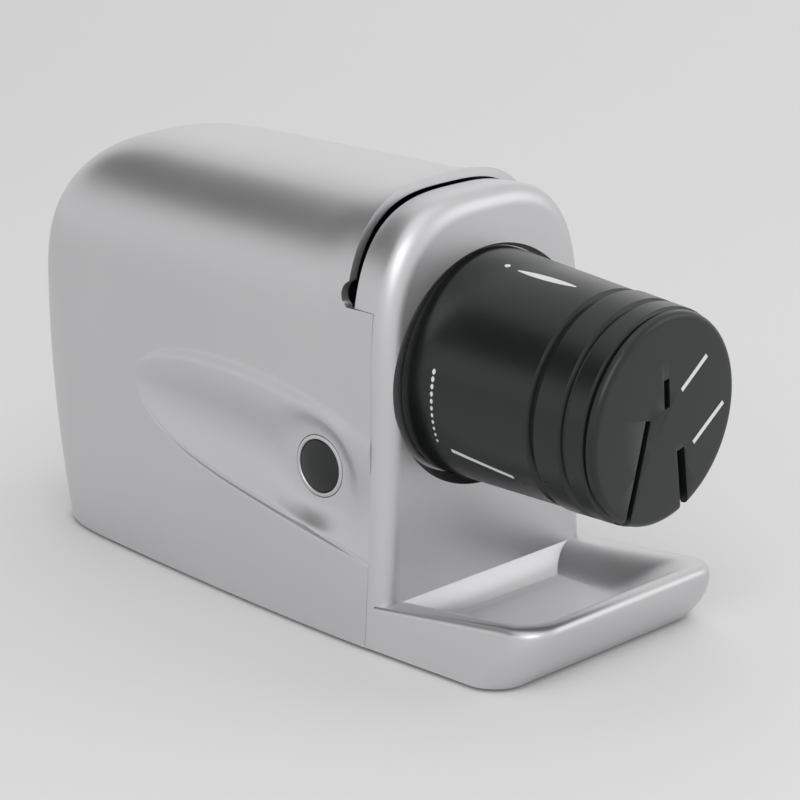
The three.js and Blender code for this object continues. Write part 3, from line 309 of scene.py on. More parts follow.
finishes = {
    "silver_plastic": {"dark": (0.60, 0.60, 0.615), "light": (0.66, 0.66, 0.67), "worn": (0.74, 0.74, 0.74),
                       "rough": (0.31, 0.41), "metal": 0.9, "grain": 2600, "cloud": 18, "depth": 0.00001,
                       "wear": 0.3, "dust": 0.3},
    "black_plastic": {"dark": (0.005, 0.0068, 0.0064), "light": (0.009, 0.0125, 0.0115),
                      "worn": (0.04, 0.045, 0.04), "rough": (0.2, 0.3), "metal": 0, "grain": 2200,
                      "cloud": 25, "depth": 0.000006, "wear": 0.35, "dust": 0.03},
    "dark_plastic": {"dark": (0.03, 0.033, 0.033), "light": (0.045, 0.048, 0.048), "worn": (0.10, 0.10, 0.10),
                     "rough": (0.38, 0.5), "metal": 0, "grain": 1800, "cloud": 30, "depth": 0.00002,
                     "wear": 0.4, "dust": 0.4},
    "grey_plastic": {"dark": (0.30, 0.305, 0.31), "light": (0.36, 0.365, 0.37), "worn": (0.48, 0.48, 0.48),
                     "rough": (0.38, 0.5), "metal": 0, "grain": 2200, "cloud": 24, "depth": 0.000015,
                     "wear": 0.35, "dust": 0.3},
    "rubber": {"dark": (0.016, 0.016, 0.016), "light": (0.03, 0.03, 0.03), "worn": (0.06, 0.06, 0.06),
               "rough": (0.72, 0.85), "metal": 0, "grain": 1400, "cloud": 60, "depth": 0.00003,
               "wear": 0.3, "dust": 0.3},
    "steel": {"dark": (0.50, 0.50, 0.51), "light": (0.60, 0.60, 0.61), "worn": (0.75, 0.75, 0.76),
              "rough": (0.22, 0.36), "metal": 1, "grain": 3000, "cloud": 60, "depth": 0.000006,
              "wear": 0.4, "dust": 0.1},
    "zinc_steel": {"dark": (0.42, 0.42, 0.41), "light": (0.56, 0.56, 0.54), "worn": (0.7, 0.7, 0.68),
                   "rough": (0.34, 0.5), "metal": 1, "grain": 1500, "cloud": 140, "depth": 0.000008,
                   "wear": 0.4, "dust": 0.1},
    "bronze": {"dark": (0.38, 0.22, 0.09), "light": (0.50, 0.31, 0.14), "worn": (0.62, 0.42, 0.22),
               "rough": (0.3, 0.45), "metal": 1, "grain": 1800, "cloud": 120, "depth": 0.000008,
               "wear": 0.4, "dust": 0.1},
    "stone": {"dark": (0.24, 0.225, 0.205), "light": (0.42, 0.40, 0.37), "worn": (0.5, 0.48, 0.45),
              "rough": (0.85, 0.95), "metal": 0, "grain": 900, "cloud": 400, "depth": 0.00012,
              "wear": 0.5, "dust": 0.2},
    "ceramic": {"dark": (0.78, 0.77, 0.73), "light": (0.84, 0.83, 0.80), "worn": (0.6, 0.6, 0.58),
                "rough": (0.3, 0.42), "metal": 0, "grain": 1600, "cloud": 80, "depth": 0.00001,
                "wear": 0.3, "dust": 0.1},
    # white of the barrel's marks, also used for the painted highlight on the barrel's top
    "painted_highlight_and_white_marks": {"dark": (0.70, 0.71, 0.71), "light": (0.80, 0.80, 0.80), "worn": (0.5, 0.5, 0.5),
                    "rough": (0.4, 0.55), "metal": 0, "grain": 1800, "cloud": 120, "depth": 0.000004,
                    "wear": 0.2, "dust": 0.05},
    "iron": {"dark": (0.16, 0.155, 0.15), "light": (0.24, 0.235, 0.23), "worn": (0.4, 0.39, 0.38),
             "rough": (0.4, 0.6), "metal": 1, "grain": 1500, "cloud": 90, "depth": 0.00001,
             "wear": 0.4, "dust": 0.1},
}


def makeFinish(name, look):
    material = bpy.data.materials.new(name)
    material.use_nodes = True
    tree = material.node_tree
    shader = tree.nodes["Principled BSDF"]
    shader.inputs["Metallic"].default_value = look["metal"]
    grain = placeGroup(tree, grainGroup, Scale=look["grain"], Cloud=look["cloud"])
    wear = placeGroup(tree, wearGroup, Reach=look["wear"])
    dust = placeGroup(tree, dustGroup, Cover=look["dust"])
    base = mixColour(tree, grain.outputs["Tone"], look["dark"], look["light"])
    worn = mixColour(tree, wear.outputs["Mask"], base, look["worn"])
    dusty = mixColour(tree, dust.outputs["Mask"], worn, texture["dust"])
    tree.links.new(dusty, shader.inputs["Base Color"])
    spread = tree.nodes.new("ShaderNodeMapRange")
    tree.links.new(grain.outputs["Rough"], spread.inputs["Value"])
    spread.inputs["To Min"].default_value = look["rough"][0]
    spread.inputs["To Max"].default_value = look["rough"][1]
    tree.links.new(spread.outputs["Result"], shader.inputs["Roughness"])
    bump = tree.nodes.new("ShaderNodeBump")
    bump.inputs["Strength"].default_value = texture["bump"]
    bump.inputs["Distance"].default_value = look["depth"]
    tree.links.new(grain.outputs["Height"], bump.inputs["Height"])
    tree.links.new(bump.outputs["Normal"], shader.inputs["Normal"])
    return material


materials = {name: makeFinish(name, look) for name, look in finishes.items()}
print("finishes ready:", len(materials))


# what the modelling steps share

mm = 0.001
dressed = set()


def alone(piece):
    bpy.ops.object.select_all(action="DESELECT")
    piece.select_set(True)
    bpy.context.view_layer.objects.active = piece


def press(piece, modifier):
    alone(piece)
    bpy.ops.object.modifier_apply(modifier=modifier.name)


def cutWith(piece, cutter, operation="DIFFERENCE"):
    step = piece.modifiers.new("cut", "BOOLEAN")
    step.operation = operation
    step.solver = "EXACT"
    step.object = cutter
    press(piece, step)
    bpy.data.objects.remove(cutter, do_unlink=True)


def joinTo(piece, *others):
    alone(piece)
    for other in others:
        other.select_set(True)
    bpy.ops.object.join()
    return piece


def softenEdges(piece, width, segments=2, angle=35):
    step = piece.modifiers.new("soft edges", "BEVEL")
    step.width = width * mm
    step.segments = segments
    step.limit_method = "ANGLE"
    step.angle_limit = math.radians(angle)
    step.miter_outer = "MITER_ARC"
    step.use_clamp_overlap = True
    press(piece, step)


def faceOutward(piece, merge=0.0001):
    alone(piece)
    bpy.ops.object.mode_set(mode="EDIT")
    bpy.ops.mesh.select_all(action="SELECT")
    bpy.ops.mesh.remove_doubles(threshold=merge * mm)
    bpy.ops.mesh.normals_make_consistent(inside=False)
    bpy.ops.object.mode_set(mode="OBJECT")


def dress(piece, name, slotName, bodyName, replaced=(), angle=30):
    piece.name = name
    piece.data.name = name
    piece.data.materials.clear()
    piece.data.materials.append(materials[slotName])
    alone(piece)
    bpy.ops.object.transform_apply(location=True, rotation=True, scale=True)
    bpy.ops.object.shade_smooth_by_angle(angle=math.radians(angle))
    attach(piece, bodyName)
    for node in replaced:
        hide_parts(node)
        dressed.add(node)
    return piece


# a skin through rings of points in millimetres from the frame's face
def skin(name, rings, closed=True, capped=True):
    count = len(rings[0])
    points = [(x * mm, y * mm + zeroY, z * mm) for ring in rings for x, y, z in ring]
    faces = []
    for row in range(len(rings) - 1):
        for spot in range(count if closed else count - 1):
            after = (spot + 1) % count
            faces.append((row * count + spot, row * count + after,
                          (row + 1) * count + after, (row + 1) * count + spot))
    if capped:
        faces.append(tuple(range(count)))
        faces.append(tuple(range((len(rings) - 1) * count, len(rings) * count)))
    piece = newPiece(name, points, faces)
    faceOutward(piece)
    return piece


# rings pulled out of a circle: each is (radius, height), millimetres, on its own Z
def turnRings(name, rings, segments, matrix, closed=False):
    radius, height = rings[0]
    bpy.ops.object.select_all(action="DESELECT")
    bpy.ops.mesh.primitive_circle_add(vertices=segments, radius=radius * mm, location=(0, 0, height * mm),
                                      fill_type="NOTHING" if closed else "NGON")
    piece = bpy.context.active_object
    bpy.ops.object.mode_set(mode="EDIT")
    for nextRadius, nextHeight in rings[1:]:
        bpy.ops.mesh.extrude_region_move(
            TRANSFORM_OT_translate={"value": (0, 0, (nextHeight - height) * mm)})
        grow = nextRadius / radius
        bpy.ops.transform.resize(value=(grow, grow, 1), center_override=(0, 0, nextHeight * mm))
        radius, height = nextRadius, nextHeight
    bpy.ops.object.mode_set(mode="OBJECT")
    bpy.ops.object.transform_apply(location=True, rotation=True, scale=True)
    faceOutward(piece, 0.001)
    piece.data.transform(matrix)
    piece.name = name
    return piece


def boxPiece(name, low, high, matrix=None):
    bpy.ops.object.select_all(action="DESELECT")
    bpy.ops.mesh.primitive_cube_add(size=1, location=[(a + b) / 2 * mm for a, b in zip(low, high)])
    piece = bpy.context.active_object
    piece.scale = [(b - a) * mm for a, b in zip(low, high)]
    bpy.ops.object.transform_apply(location=True, rotation=True, scale=True)
    piece.data.transform(matrix or Matrix.Translation((0, zeroY, 0)))
    piece.name = name
    return piece


def lerp(start, end, share):
    return start + (end - start) * share


def clamp(value):
    return min(max(value, 0.0), 1.0)


def fade(value, start, end):
    share = clamp((value - start) / (end - start))
    return share * share * (3 - 2 * share)


# the moulded body's form, in millimetres behind the frame's face; cutters reach past it by past

form = {"back": 140, "tailStart": 100, "tailLead": 0.4, "skirtHalf": 38.5, "skirtTailHalf": 27.5,
        "skirtTailAt": 122, "sideHalf": 35.8, "sideTailHalf": 33.5, "ridge": 109.4, "roofFall": 85,
        "frameTop": 108.8, "tailTop": 68, "foot": 1, "wall": 2.3, "shoulder": 2 / 3, "lipFlare": 1.8,
        "lipReach": 12, "axis": 66, "tilt": 3.3, "frameDepth": 7, "hoopDepth": 12, "slot": 2.4,
        "hoopFoot": 84, "plate": 3.6, "tailBend": 5, "tailRoot": 0.4, "skirtBend": 1.5, "roofBend": 3.8,
        "past": 3}
scoop = {"depth": 4.15, "lip": 1.3, "deepest": 0.38, "crest": 0.87, "noseAt": 91.5, "noseHeight": 51.5,
         "rowsHalf": 5, "frontLow": 20.5, "climb": 0.17, "peakAt": 58, "peakHeight": 64, "frontDrop": 12.2,
         "frontShare": 0.4, "fadeStart": 8, "fadeEnd": 24, "groove": 0.4, "grooveAt": 0.014,
         "lowBend": 6.8, "highBend": 2.3, "sinkBend": 1.4, "sinkEnds": 5, "lipEnds": 16}
button = {"y": 26.5, "z": 41.002, "radius": 6.6, "crown": 0.9, "bezel": 7.9, "seat": 0.9, "rise": 0.08,
          "flange": 7.8, "flangeThick": 1.3, "stem": 2.4, "stemEnd": 23.3, "gap": 0.15, "travel": 2.0,
          "flat": 8.1, "blend": 16.5, "steps": 64, "holeDepth": 6, "seatGap": 0.1, "slack": 0.3,
          "rimDrop": 0.1, "crownShares": (0.12, 0.25, 0.4, 0.55, 0.7, 0.82, 0.91, 0.97),
          "crownBend": 1.3, "crownRoot": 0.8}
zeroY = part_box("rear_housing")[1].y - form["back"] * mm
axisPlace = (Matrix.Translation((0, zeroY, form["axis"] * mm))
             @ Matrix.Rotation(math.radians(form["tilt"]), 4, "X") @ Matrix.Rotation(math.pi / 2, 4, "X"))
buttonPlace = (Matrix.Translation((0, zeroY + button["y"] * mm, button["z"] * mm))
               @ Matrix.Rotation(-math.pi / 2, 4, "Y"))


def tailRound(y):
    share = max((y - form["tailStart"]) / (form["back"] + form["tailLead"] - form["tailStart"]), 0)
    return (1 - share ** form["tailBend"]) ** form["tailRoot"]


def halfSkirt(y):
    share = max(y / form["skirtTailAt"], 0)
    return lerp(form["skirtHalf"], form["skirtTailHalf"], share ** form["skirtBend"]) * tailRound(y)


def halfSide(y):
    share = max(y / form["skirtTailAt"], 0)
    return lerp(form["sideHalf"], form["sideTailHalf"], share ** 2) * tailRound(y)


def roofHeight(y):
    share = max((y - form["roofFall"]) / (form["back"] + form["tailLead"] - form["roofFall"]), 0)
    return lerp(form["tailTop"], form["ridge"], (1 - share ** form["roofBend"]) ** 0.5)


def sideAt(y, z):
    rise = 1 - clamp(z / form["axis"])
    return lerp(halfSide(y), halfSkirt(y), rise ** 2)


def scoopEdges(y):
    reach = clamp(y / scoop["noseAt"])
    low = lerp(scoop["noseHeight"], scoop["frontLow"] + scoop["climb"] * y,
               (1 - reach ** scoop["lowBend"]) ** 0.5)
    front = max((scoop["peakAt"] - y) / scoop["peakAt"], 0)
    past = clamp((y - scoop["peakAt"]) / (scoop["noseAt"] - scoop["peakAt"]))
    high = lerp(scoop["noseHeight"], scoop["peakHeight"] - scoop["frontDrop"] * front ** 2,
                (1 - past ** scoop["highBend"]) ** 0.5)
    return low, high


# lines that the mesh rows follow: the scoop's edges, held open round its nose
def scoopRows(y):
    low, high = scoopEdges(y)
    nose, half = scoop["noseHeight"], scoop["rowsHalf"]
    return min(low, nose - half), max(high, nose + half)


def scoopInset(y, z):
    low, high = scoopEdges(y)
    if not low < z < high:
        return 0
    share = (z - low) / (high - low)
    reach = clamp(y / scoop["noseAt"])
    front = lerp(scoop["frontShare"], 1, fade(y, scoop["fadeStart"], scoop["fadeEnd"]))
    if share < scoop["deepest"]:
        sunk = scoop["depth"] * (1 - (1 - share / scoop["deepest"]) ** scoop["sinkBend"])
        sunk += scoop["groove"] * math.exp(-((share / scoop["grooveAt"] - 1) ** 2))
        raised = 0
    else:
        risen = fade(share, scoop["deepest"], scoop["crest"])
        sunk = scoop["depth"] * (1 - risen)
        raised = scoop["lip"] * risen * (1 - fade(share, scoop["crest"], 1))
    return front * (sunk * (1 - reach ** scoop["sinkEnds"]) - raised * (1 - reach ** scoop["lipEnds"]))


def buttonFace():
    return sideAt(button["y"], button["z"]) - scoopInset(button["y"], button["z"])


# flat seat round the button, on its own side only
def seated(x, y, z):
    off = math.hypot(y - button["y"], z - button["z"])
    return lerp(x, buttonFace(), 1 - fade(off, button["flat"], button["blend"]))


# roof over one section, from the shoulder to the ridge
def roofArc(half, rise, steps, push=0.0):
    points = []
    for step in range(steps + 1):
        turn = math.pi / 2 * step / steps
        lean = push * math.sin(turn) ** 2
        across = math.cos(turn) ** form["shoulder"] if step < steps else 0
        upward = math.sin(turn) ** form["shoulder"]
        points.append(((half + lean) * across, form["axis"] + (rise + lean) * upward))
    return points


def mirrored(side, y, left=None):
    other = [(-x, z) for x, z in reversed((left or side)[:-1])]
    return [(x, y, z) for x, z in side + other]


# rear housing: sections, a wall inwards, then the slot, the notches and the button's hole

housing = {"front": 5.34, "stations": 27, "evenTo": 81, "tailStations": 18, "skirtRows": 7, "creaseLead": 0.7,
           "scoopShares": [0, 0.007, 0.014, 0.024, 0.04, 0.07, 0.11, 0.16, 0.21, 0.27, 0.33, 0.39, 0.45, 0.51,
                           0.57, 0.63, 0.69, 0.75, 0.8, 0.84, 0.87, 0.9, 0.93, 0.96, 0.98, 1],
           "upperShares": [0.33, 0.66], "noseStations": [84, 86.5, 88.5, 90, 91, 91.7, 93, 96],
           "roofSteps": 22, "notchRadius": 3.2, "notchSteps": 48, "notchPast": 6, "lipFoot": 0.05,
           "edge": 0.35, "edgeAngle": 60, "merge": 0.0005}


def housingLine(y):
    low, high = scoopRows(y)
    heights = [lerp(form["foot"], low - housing["creaseLead"], row / (housing["skirtRows"] - 1))
               for row in range(housing["skirtRows"])]
    heights += [lerp(low, high, share) for share in housing["scoopShares"]]
    heights += [lerp(high, form["axis"], share) for share in housing["upperShares"]]
    side = [(sideAt(y, z) - scoopInset(y, z), z) for z in heights]
    near = max((form["hoopDepth"] + form["slot"] + form["lipReach"] - y) / form["lipReach"], 0)
    push = form["lipFlare"] * min(near, 1) ** 2
    side += roofArc(halfSide(y), roofHeight(y) - form["axis"], housing["roofSteps"], push)
    return mirrored(side, y, [(seated(x, y, z), z) for x, z in side])


def bisectSkin(piece, place, direction):
    alone(piece)
    bpy.ops.object.mode_set(mode="EDIT")
    bpy.ops.mesh.select_all(action="SELECT")
    bpy.ops.mesh.bisect(plane_co=place, plane_no=direction)
    bpy.ops.object.mode_set(mode="OBJECT")


# a corner's place in metres, to a tenth of a micrometre
def placeKey(place):
    return tuple(round(part, 7) for part in place)


# closes the skin across its last ring, one pair of sides after the other
def closeTail(piece, ring):
    mesh = bmesh.new()
    mesh.from_mesh(piece.data)
    found = {placeKey(vertex.co): vertex for vertex in mesh.verts}
    last = [found[placeKey(Vector((x * mm, y * mm + zeroY, z * mm)))] for x, y, z in ring]
    count = len(ring)
    for spot in range(count // 2):
        corners = [last[spot], last[spot + 1], last[count - 2 - spot], last[count - 1 - spot]]
        mesh.faces.new(list(dict.fromkeys(corners)))
    bmesh.ops.recalc_face_normals(mesh, faces=mesh.faces)
    mesh.to_mesh(piece.data)
    mesh.free()


# opens the skin ahead of the slot, above the hoop's foot
def openHoop(piece):
    lipY = (form["hoopDepth"] + form["slot"]) * mm + zeroY
    footZ = (form["hoopFoot"] - housing["lipFoot"]) * mm
    bisectSkin(piece, (0, lipY, 0), (0, 1, 0))
    bisectSkin(piece, (0, 0, footZ), (0, 0, 1))
    mesh = bmesh.new()
    mesh.from_mesh(piece.data)
    above = [face for face in mesh.faces
             if face.calc_center_median().y < lipY and face.calc_center_median().z > footZ]
    bmesh.ops.delete(mesh, geom=above, context="FACES")
    mesh.to_mesh(piece.data)
    mesh.free()


def buttonHole(name, radius, depth):
    low, high = buttonFace() - depth, form["skirtHalf"] + form["past"]
    return turnRings(name, [(radius, low), (radius, high)], button["steps"], buttonPlace)


def makeHousing():
    even = [lerp(housing["front"], housing["evenTo"], step / housing["stations"])
            for step in range(housing["stations"] + 1)]
    tail = [lerp(form["tailStart"], form["back"], math.sin(math.pi / 2 * step / housing["tailStations"]))
            for step in range(housing["tailStations"] + 1)]
    rings = [housingLine(y) for y in even + housing["noseStations"] + tail]
    piece = skin("rear_housing_shell", rings, closed=False, capped=False)
    closeTail(piece, rings[-1])
    if piece.data.polygons[0].normal.x * piece.data.polygons[0].center.x < 0:
        piece.data.flip_normals()
    fine = piece.modifiers.new("fine", "SUBSURF")
    fine.levels = fine.render_levels = 1
    fine.boundary_smooth = "PRESERVE_CORNERS"
    press(piece, fine)
    openHoop(piece)
    wall = piece.modifiers.new("wall", "SOLIDIFY")
    wall.thickness = form["wall"] * mm
    wall.offset = -1
    press(piece, wall)
    cutWith(piece, buttonHole("hole", button["radius"] + button["gap"], button["holeDepth"]))
    cutWith(piece, buttonHole("seat", button["bezel"] + button["seatGap"], button["seat"]))
    for side in (-1, 1):
        cutWith(piece, notchCutter(side))
    softenEdges(piece, housing["edge"], angle=housing["edgeAngle"])
    faceOutward(piece, housing["merge"])
    return piece


def notchCutter(side):
    sideways = (Matrix.Translation((0, zeroY + (form["hoopDepth"] + form["slot"] / 2) * mm,
                                    (form["hoopFoot"] + housing["notchRadius"]) * mm))
                @ Matrix.Rotation(side * math.pi / 2, 4, "Y"))
    radius = housing["notchRadius"]
    ends = (form["sideHalf"] / 2, form["sideHalf"] + housing["notchPast"])
    return turnRings("notch", [(radius, end) for end in ends], housing["notchSteps"], sideways)


dress(makeHousing(), "rear_housing_shell", "silver_plastic", "housing", ["rear_housing"])
print("rear housing ready")


# front frame: a rounded face, the round opening with its recess, and the catch tray

frontFrame = {"edge": 5, "edgeSteps": 10, "sideRows": 12, "roofSteps": 28, "hoopFall": 0.4, "face": 2.6,
              "recessHalf": 33.6, "recessRise": 30.2, "recessDepth": 3.5, "recessTaper": 2, "recessWall": 2.5,
              "opening": 24.8, "slotInset": 1.55, "slotReach": 6.4, "slotWall": 2.6, "slotPast": 2,
              "saucerInset": 1.8, "saucerFrom": 1.6, "saucerTo": 12, "seam": 5.3, "rear": 15, "ahead": 5,
              "unit": 10, "turns": 128, "openingTurns": 96, "soft": 0.3, "merge": 0.02, "mergeLast": 0.002}
tray = {"reach": 38, "lean": 8.4, "draft": 3.4, "corner": 9, "floor": 6.2, "bowl": 13, "bowlBack": 7,
        "bowlSteps": 16, "bowlCorner": 0.4, "bowlAbove": 3, "rimBack": 12.2, "rimFront": 17.2,
        "round": 2.2, "roundSteps": 6, "band": 1, "sink": 0.15, "wallSteps": 8, "arcSteps": 12}


def frameLine(y, inset, bottom):
    rows = frontFrame["sideRows"]
    depth = form["frameDepth"]
    side = [(sideAt(depth, form["foot"]) - inset, bottom)]
    for row in range(1, rows + 1):
        z = lerp(form["foot"], form["axis"], row / (rows + 1))
        side.append((sideAt(depth, z) - inset, z))
    rise = form["frameTop"] - inset - form["axis"]
    side += roofArc(halfSide(depth) - inset, rise, frontFrame["roofSteps"])
    return mirrored(side, y)


def rimAt(y):
    return lerp(tray["rimBack"], tray["rimFront"], -y / (tray["reach"] + tray["lean"]))


def trayRing(foot, share, back, backHalf, inset, reach, corner):
    half = form["skirtHalf"] - inset
    places = []
    for x, start in ((half - corner, -90), (-half + corner, 180)):
        for step in range(tray["arcSteps"] + 1):
            turn = math.radians(start + 90 * step / tray["arcSteps"])
            places.append((x + corner * math.cos(turn), -reach + corner + corner * math.sin(turn)))
    split = tray["arcSteps"] + 1
    places[split:split] = [(backHalf, back), (-backHalf, back)]
    return [(x, y, lerp(foot, rimAt(y), share)) for x, y in places]


def makeTray():
    back = frontFrame["edge"] + tray["sink"]
    footHalf = sideAt(form["frameDepth"], form["foot"]) - tray["sink"]
    backHalf = sideAt(form["frameDepth"], tray["rimBack"]) - tray["sink"]
    roundFrom = 1 - tray["round"] / (tray["rimFront"] - form["foot"])
    stations = [(roundFrom * step / tray["wallSteps"], 0) for step in range(tray["wallSteps"])]
    stations += [(roundFrom, step / tray["roundSteps"]) for step in range(tray["roundSteps"] + 1)]
    rings = []
    for foot, turnShare in stations:
        turn = math.pi / 2 * turnShare
        share = foot + (1 - foot) * math.sin(turn)
        tuck = tray["round"] * (1 - math.cos(turn))
        reach = tray["reach"] + tray["lean"] * math.sin(math.pi / 2 * foot / roundFrom) - tuck
        rings.append(trayRing(form["foot"], share, back, lerp(footHalf, backHalf, share),
                              tray["draft"] * foot + tuck, reach, tray["corner"]))
    return skin("tray_solid", rings)


def makeBowl():
    inset = tray["draft"] + tray["round"] + tray["band"]
    reach = tray["reach"] + tray["lean"] - tray["round"] - tray["band"]
    rings = []
    for step in range(tray["bowlSteps"] + 1):
        share = step / tray["bowlSteps"]
        spread = tray["bowl"] * (1 - share)
        rings.append(trayRing(tray["floor"], fade(share, 0, 1), -tray["bowlBack"] * (1 - share) ** 2,
                              form["skirtHalf"] - inset - spread, inset + spread, reach - spread,
                              tray["corner"] - tray["band"] + spread * tray["bowlCorner"]))
    rings.append([(x, y, z + tray["bowlAbove"]) for x, y, z in rings[-1]])
    return skin("bowl", rings)


def recessSolid(name, grow, stations):
    unit = frontFrame["unit"]
    wide = (frontFrame["recessHalf"] + grow) / unit
    high = (frontFrame["recessRise"] + grow) / unit
    oval = axisPlace @ Matrix.Diagonal((wide, high, 1, 1))
    rings = [(unit * share, forward) for share, forward in stations]
    return turnRings(name, rings, frontFrame["turns"], oval)


def hoopLine(y, inset):
    return [point for point in frameLine(y, inset, form["foot"]) if point[2] >= form["axis"]]


# upright band that closes the frame at the back, from one side of the hoop's foot over to the other
def slotBand():
    start, end = form["hoopDepth"] - frontFrame["slotWall"], form["hoopDepth"]
    rings = [hoopLine(y, frontFrame["slotInset"]) + hoopLine(y, frontFrame["slotReach"])[::-1]
             for y in (start, end)]
    band = skin("slot_wall", rings)
    wide, past = form["skirtHalf"] + form["past"], frontFrame["slotPast"]
    cutWith(band, boxPiece("below", (-wide, start - past, form["axis"] - form["past"]),
                           (wide, end + past, form["hoopFoot"])))
    return band


# wall of the recess round the barrel, kept between the frame's face and its back
def makeSaucer(taper, depth):
    saucer = recessSolid("saucer", frontFrame["face"], [(1, 0), (taper, -depth)])
    side = form["sideHalf"] - frontFrame["saucerInset"]
    cutWith(saucer, boxPiece("between", (-side, frontFrame["saucerFrom"], 0),
                             (side, frontFrame["saucerTo"], form["frameTop"] - form["wall"])), "INTERSECT")
    return saucer


# room inside the frame's wall, with the recess left standing in it
def makeHollow(taper, depth):
    face, wall = frontFrame["face"], form["wall"]
    bottom = form["foot"] + form["plate"]
    hollow = skin("hollow", [frameLine(face, frontFrame["edge"] / 2 + wall, bottom),
                             frameLine(frontFrame["edge"], wall, bottom),
                             frameLine(form["frameDepth"], wall, bottom),
                             frameLine(frontFrame["rear"], wall + frontFrame["hoopFall"], bottom)])
    cutWith(hollow, recessSolid("keep", face, [(1, form["past"]), (1, 0), (taper, -depth)]))
    return hollow


def makeFrame():
    edge = frontFrame["edge"]
    turns = [math.pi / 2 * step / frontFrame["edgeSteps"] for step in range(frontFrame["edgeSteps"] + 1)]
    rings = [frameLine(edge * (1 - math.cos(turn)), edge * (1 - math.sin(turn)), form["foot"])
             for turn in turns]
    rings += [frameLine(form["frameDepth"], 0, form["foot"]),
              frameLine(form["hoopDepth"], frontFrame["hoopFall"], form["foot"])]
    piece = skin("front_frame_shell", rings)
    cutWith(piece, makeTray(), "UNION")
    cutWith(piece, makeBowl())
    depth = frontFrame["recessDepth"] + frontFrame["recessWall"]
    taper = 1 - frontFrame["recessTaper"] / form["frameTop"] * 2
    cutWith(piece, makeHollow(taper, depth))
    cutWith(piece, makeSaucer(taper, depth), "UNION")
    wide, past = form["skirtHalf"] + form["past"], form["past"]
    cutWith(piece, boxPiece("behind", (-wide, frontFrame["seam"], -past),
                            (wide, frontFrame["rear"], form["hoopFoot"])))
    cutWith(piece, slotBand(), "UNION")
    ahead, floor = frontFrame["ahead"], 1 - frontFrame["recessTaper"] / frontFrame["recessHalf"]
    cutWith(piece, recessSolid("recess", 0, [(1, ahead), (1, 0), (floor, -frontFrame["recessDepth"])]))
    ends = (ahead, -depth - past)
    cutWith(piece, turnRings("opening", [(frontFrame["opening"], end) for end in ends],
                            frontFrame["openingTurns"], axisPlace))
    faceOutward(piece, frontFrame["merge"])
    softenEdges(piece, frontFrame["soft"])
    faceOutward(piece, frontFrame["mergeLast"])
    return piece


dress(makeFrame(), "front_frame_shell", "silver_plastic", "housing", ["front_frame"])
print("front frame ready")


# guide barrel: turned cap with grip grooves, knife slots across its end, white marks and a painted highlight

barrel = {"length": 55, "root": 28.5, "end": 26, "wall": 2.6, "sink": 2.4, "flank": 0.5, "rise": 0.4,
          "groove": 1.3, "grooves": [(0.96, 0.94), (0.855, 0.82), (0.69, 0.645)], "round": 1.6,
          "roundSteps": 6, "lip": 0.5, "lipRound": 0.3, "endWall": 2.7, "turns": 128, "crown": 0.25,
          "crownPlaces": [(0.3, 1), (0.6, 0.75)], "rimIn": 1, "rimRise": 0.02, "waist": (14, 1),
          "chamfer": (0.18, 0.04, 0.12), "edge": 0.22, "edgeAngle": 50, "insertGap": 0.3,
          "insertThick": (5.8, 7.4), "insertStep": 1.6, "insertTurns": 96, "insertEdge": 0.25,
          "slots": [((-0.26, 0.06), (-0.5, -1.2), 1.9, 14), ((0.24, -0.32), (0.44, -1.2), 2.8, 14),
                    ((0, 0.12), (-0.04, 0.4), 2, 12.8)]}


def barrelRadius(forward):
    return lerp(barrel["root"], barrel["end"], forward / barrel["length"])


def makeBarrel():
    tip = barrel["end"]
    length = barrel["length"]
    curve = barrel["round"]
    profile = [(tip * share, length + barrel["crown"] * rise) for share, rise in barrel["crownPlaces"]]
    profile.append((tip - curve - barrel["rimIn"], length + barrel["rimRise"]))
    for step in range(barrel["roundSteps"] + 1):
        turn = math.pi / 2 * step / barrel["roundSteps"]
        profile.append((tip - curve + curve * math.sin(turn), length - curve + curve * math.cos(turn)))
    deep = barrel["groove"]
    outside, inside, fallen = barrel["chamfer"]
    for high, low in barrel["grooves"]:
        start, end = high * length, low * length
        above = 0 if high == barrel["grooves"][0][0] else barrel["rise"]
        below = 0 if low == barrel["grooves"][-1][1] else barrel["rise"]
        before, after = barrelRadius(start) + above, barrelRadius(end) + below
        profile += [(before, start + outside), (before - fallen, start + inside),
                    (before - deep, start - barrel["flank"]), (after - deep, end + barrel["flank"]),
                    (after - fallen, end - inside), (after, end - outside)]
    sink = barrel["sink"]
    bore = barrel["root"] - barrel["wall"]
    lip, bend = barrel["lip"], barrel["lip"] * barrel["lipRound"]
    profile += [(barrelRadius(forward), forward) for forward in (*barrel["waist"], lip - sink)]
    profile += [(barrelRadius(-sink) - bend, bend - sink), (barrelRadius(-sink) - lip, -sink),
                (bore, -sink), (bore, sink * 2), (tip - barrel["wall"], length - barrel["endWall"])]
    piece = turnRings("guide_barrel_cap", profile, barrel["turns"], axisPlace)
    for cutter in slotCutters(0):
        cutWith(piece, cutter)
    softenEdges(piece, barrel["edge"], angle=barrel["edgeAngle"])
    return piece


def slotCutters(clearance):
    cutters = []
    for start, end, width, depth in barrel["slots"]:
        near = Vector(start) * barrel["end"]
        run = Vector(end) * barrel["end"] - near
        place = (axisPlace @ Matrix.Translation((near.x * mm, near.y * mm, 0))
                 @ Matrix.Rotation(math.atan2(run.y, run.x), 4, "Z"))
        half = width / 2 + clearance
        cutters.append(boxPiece("slot", (0, -half, barrel["length"] - depth),
                                (run.length, half, barrel["length"] + form["past"]), place))
    return cutters


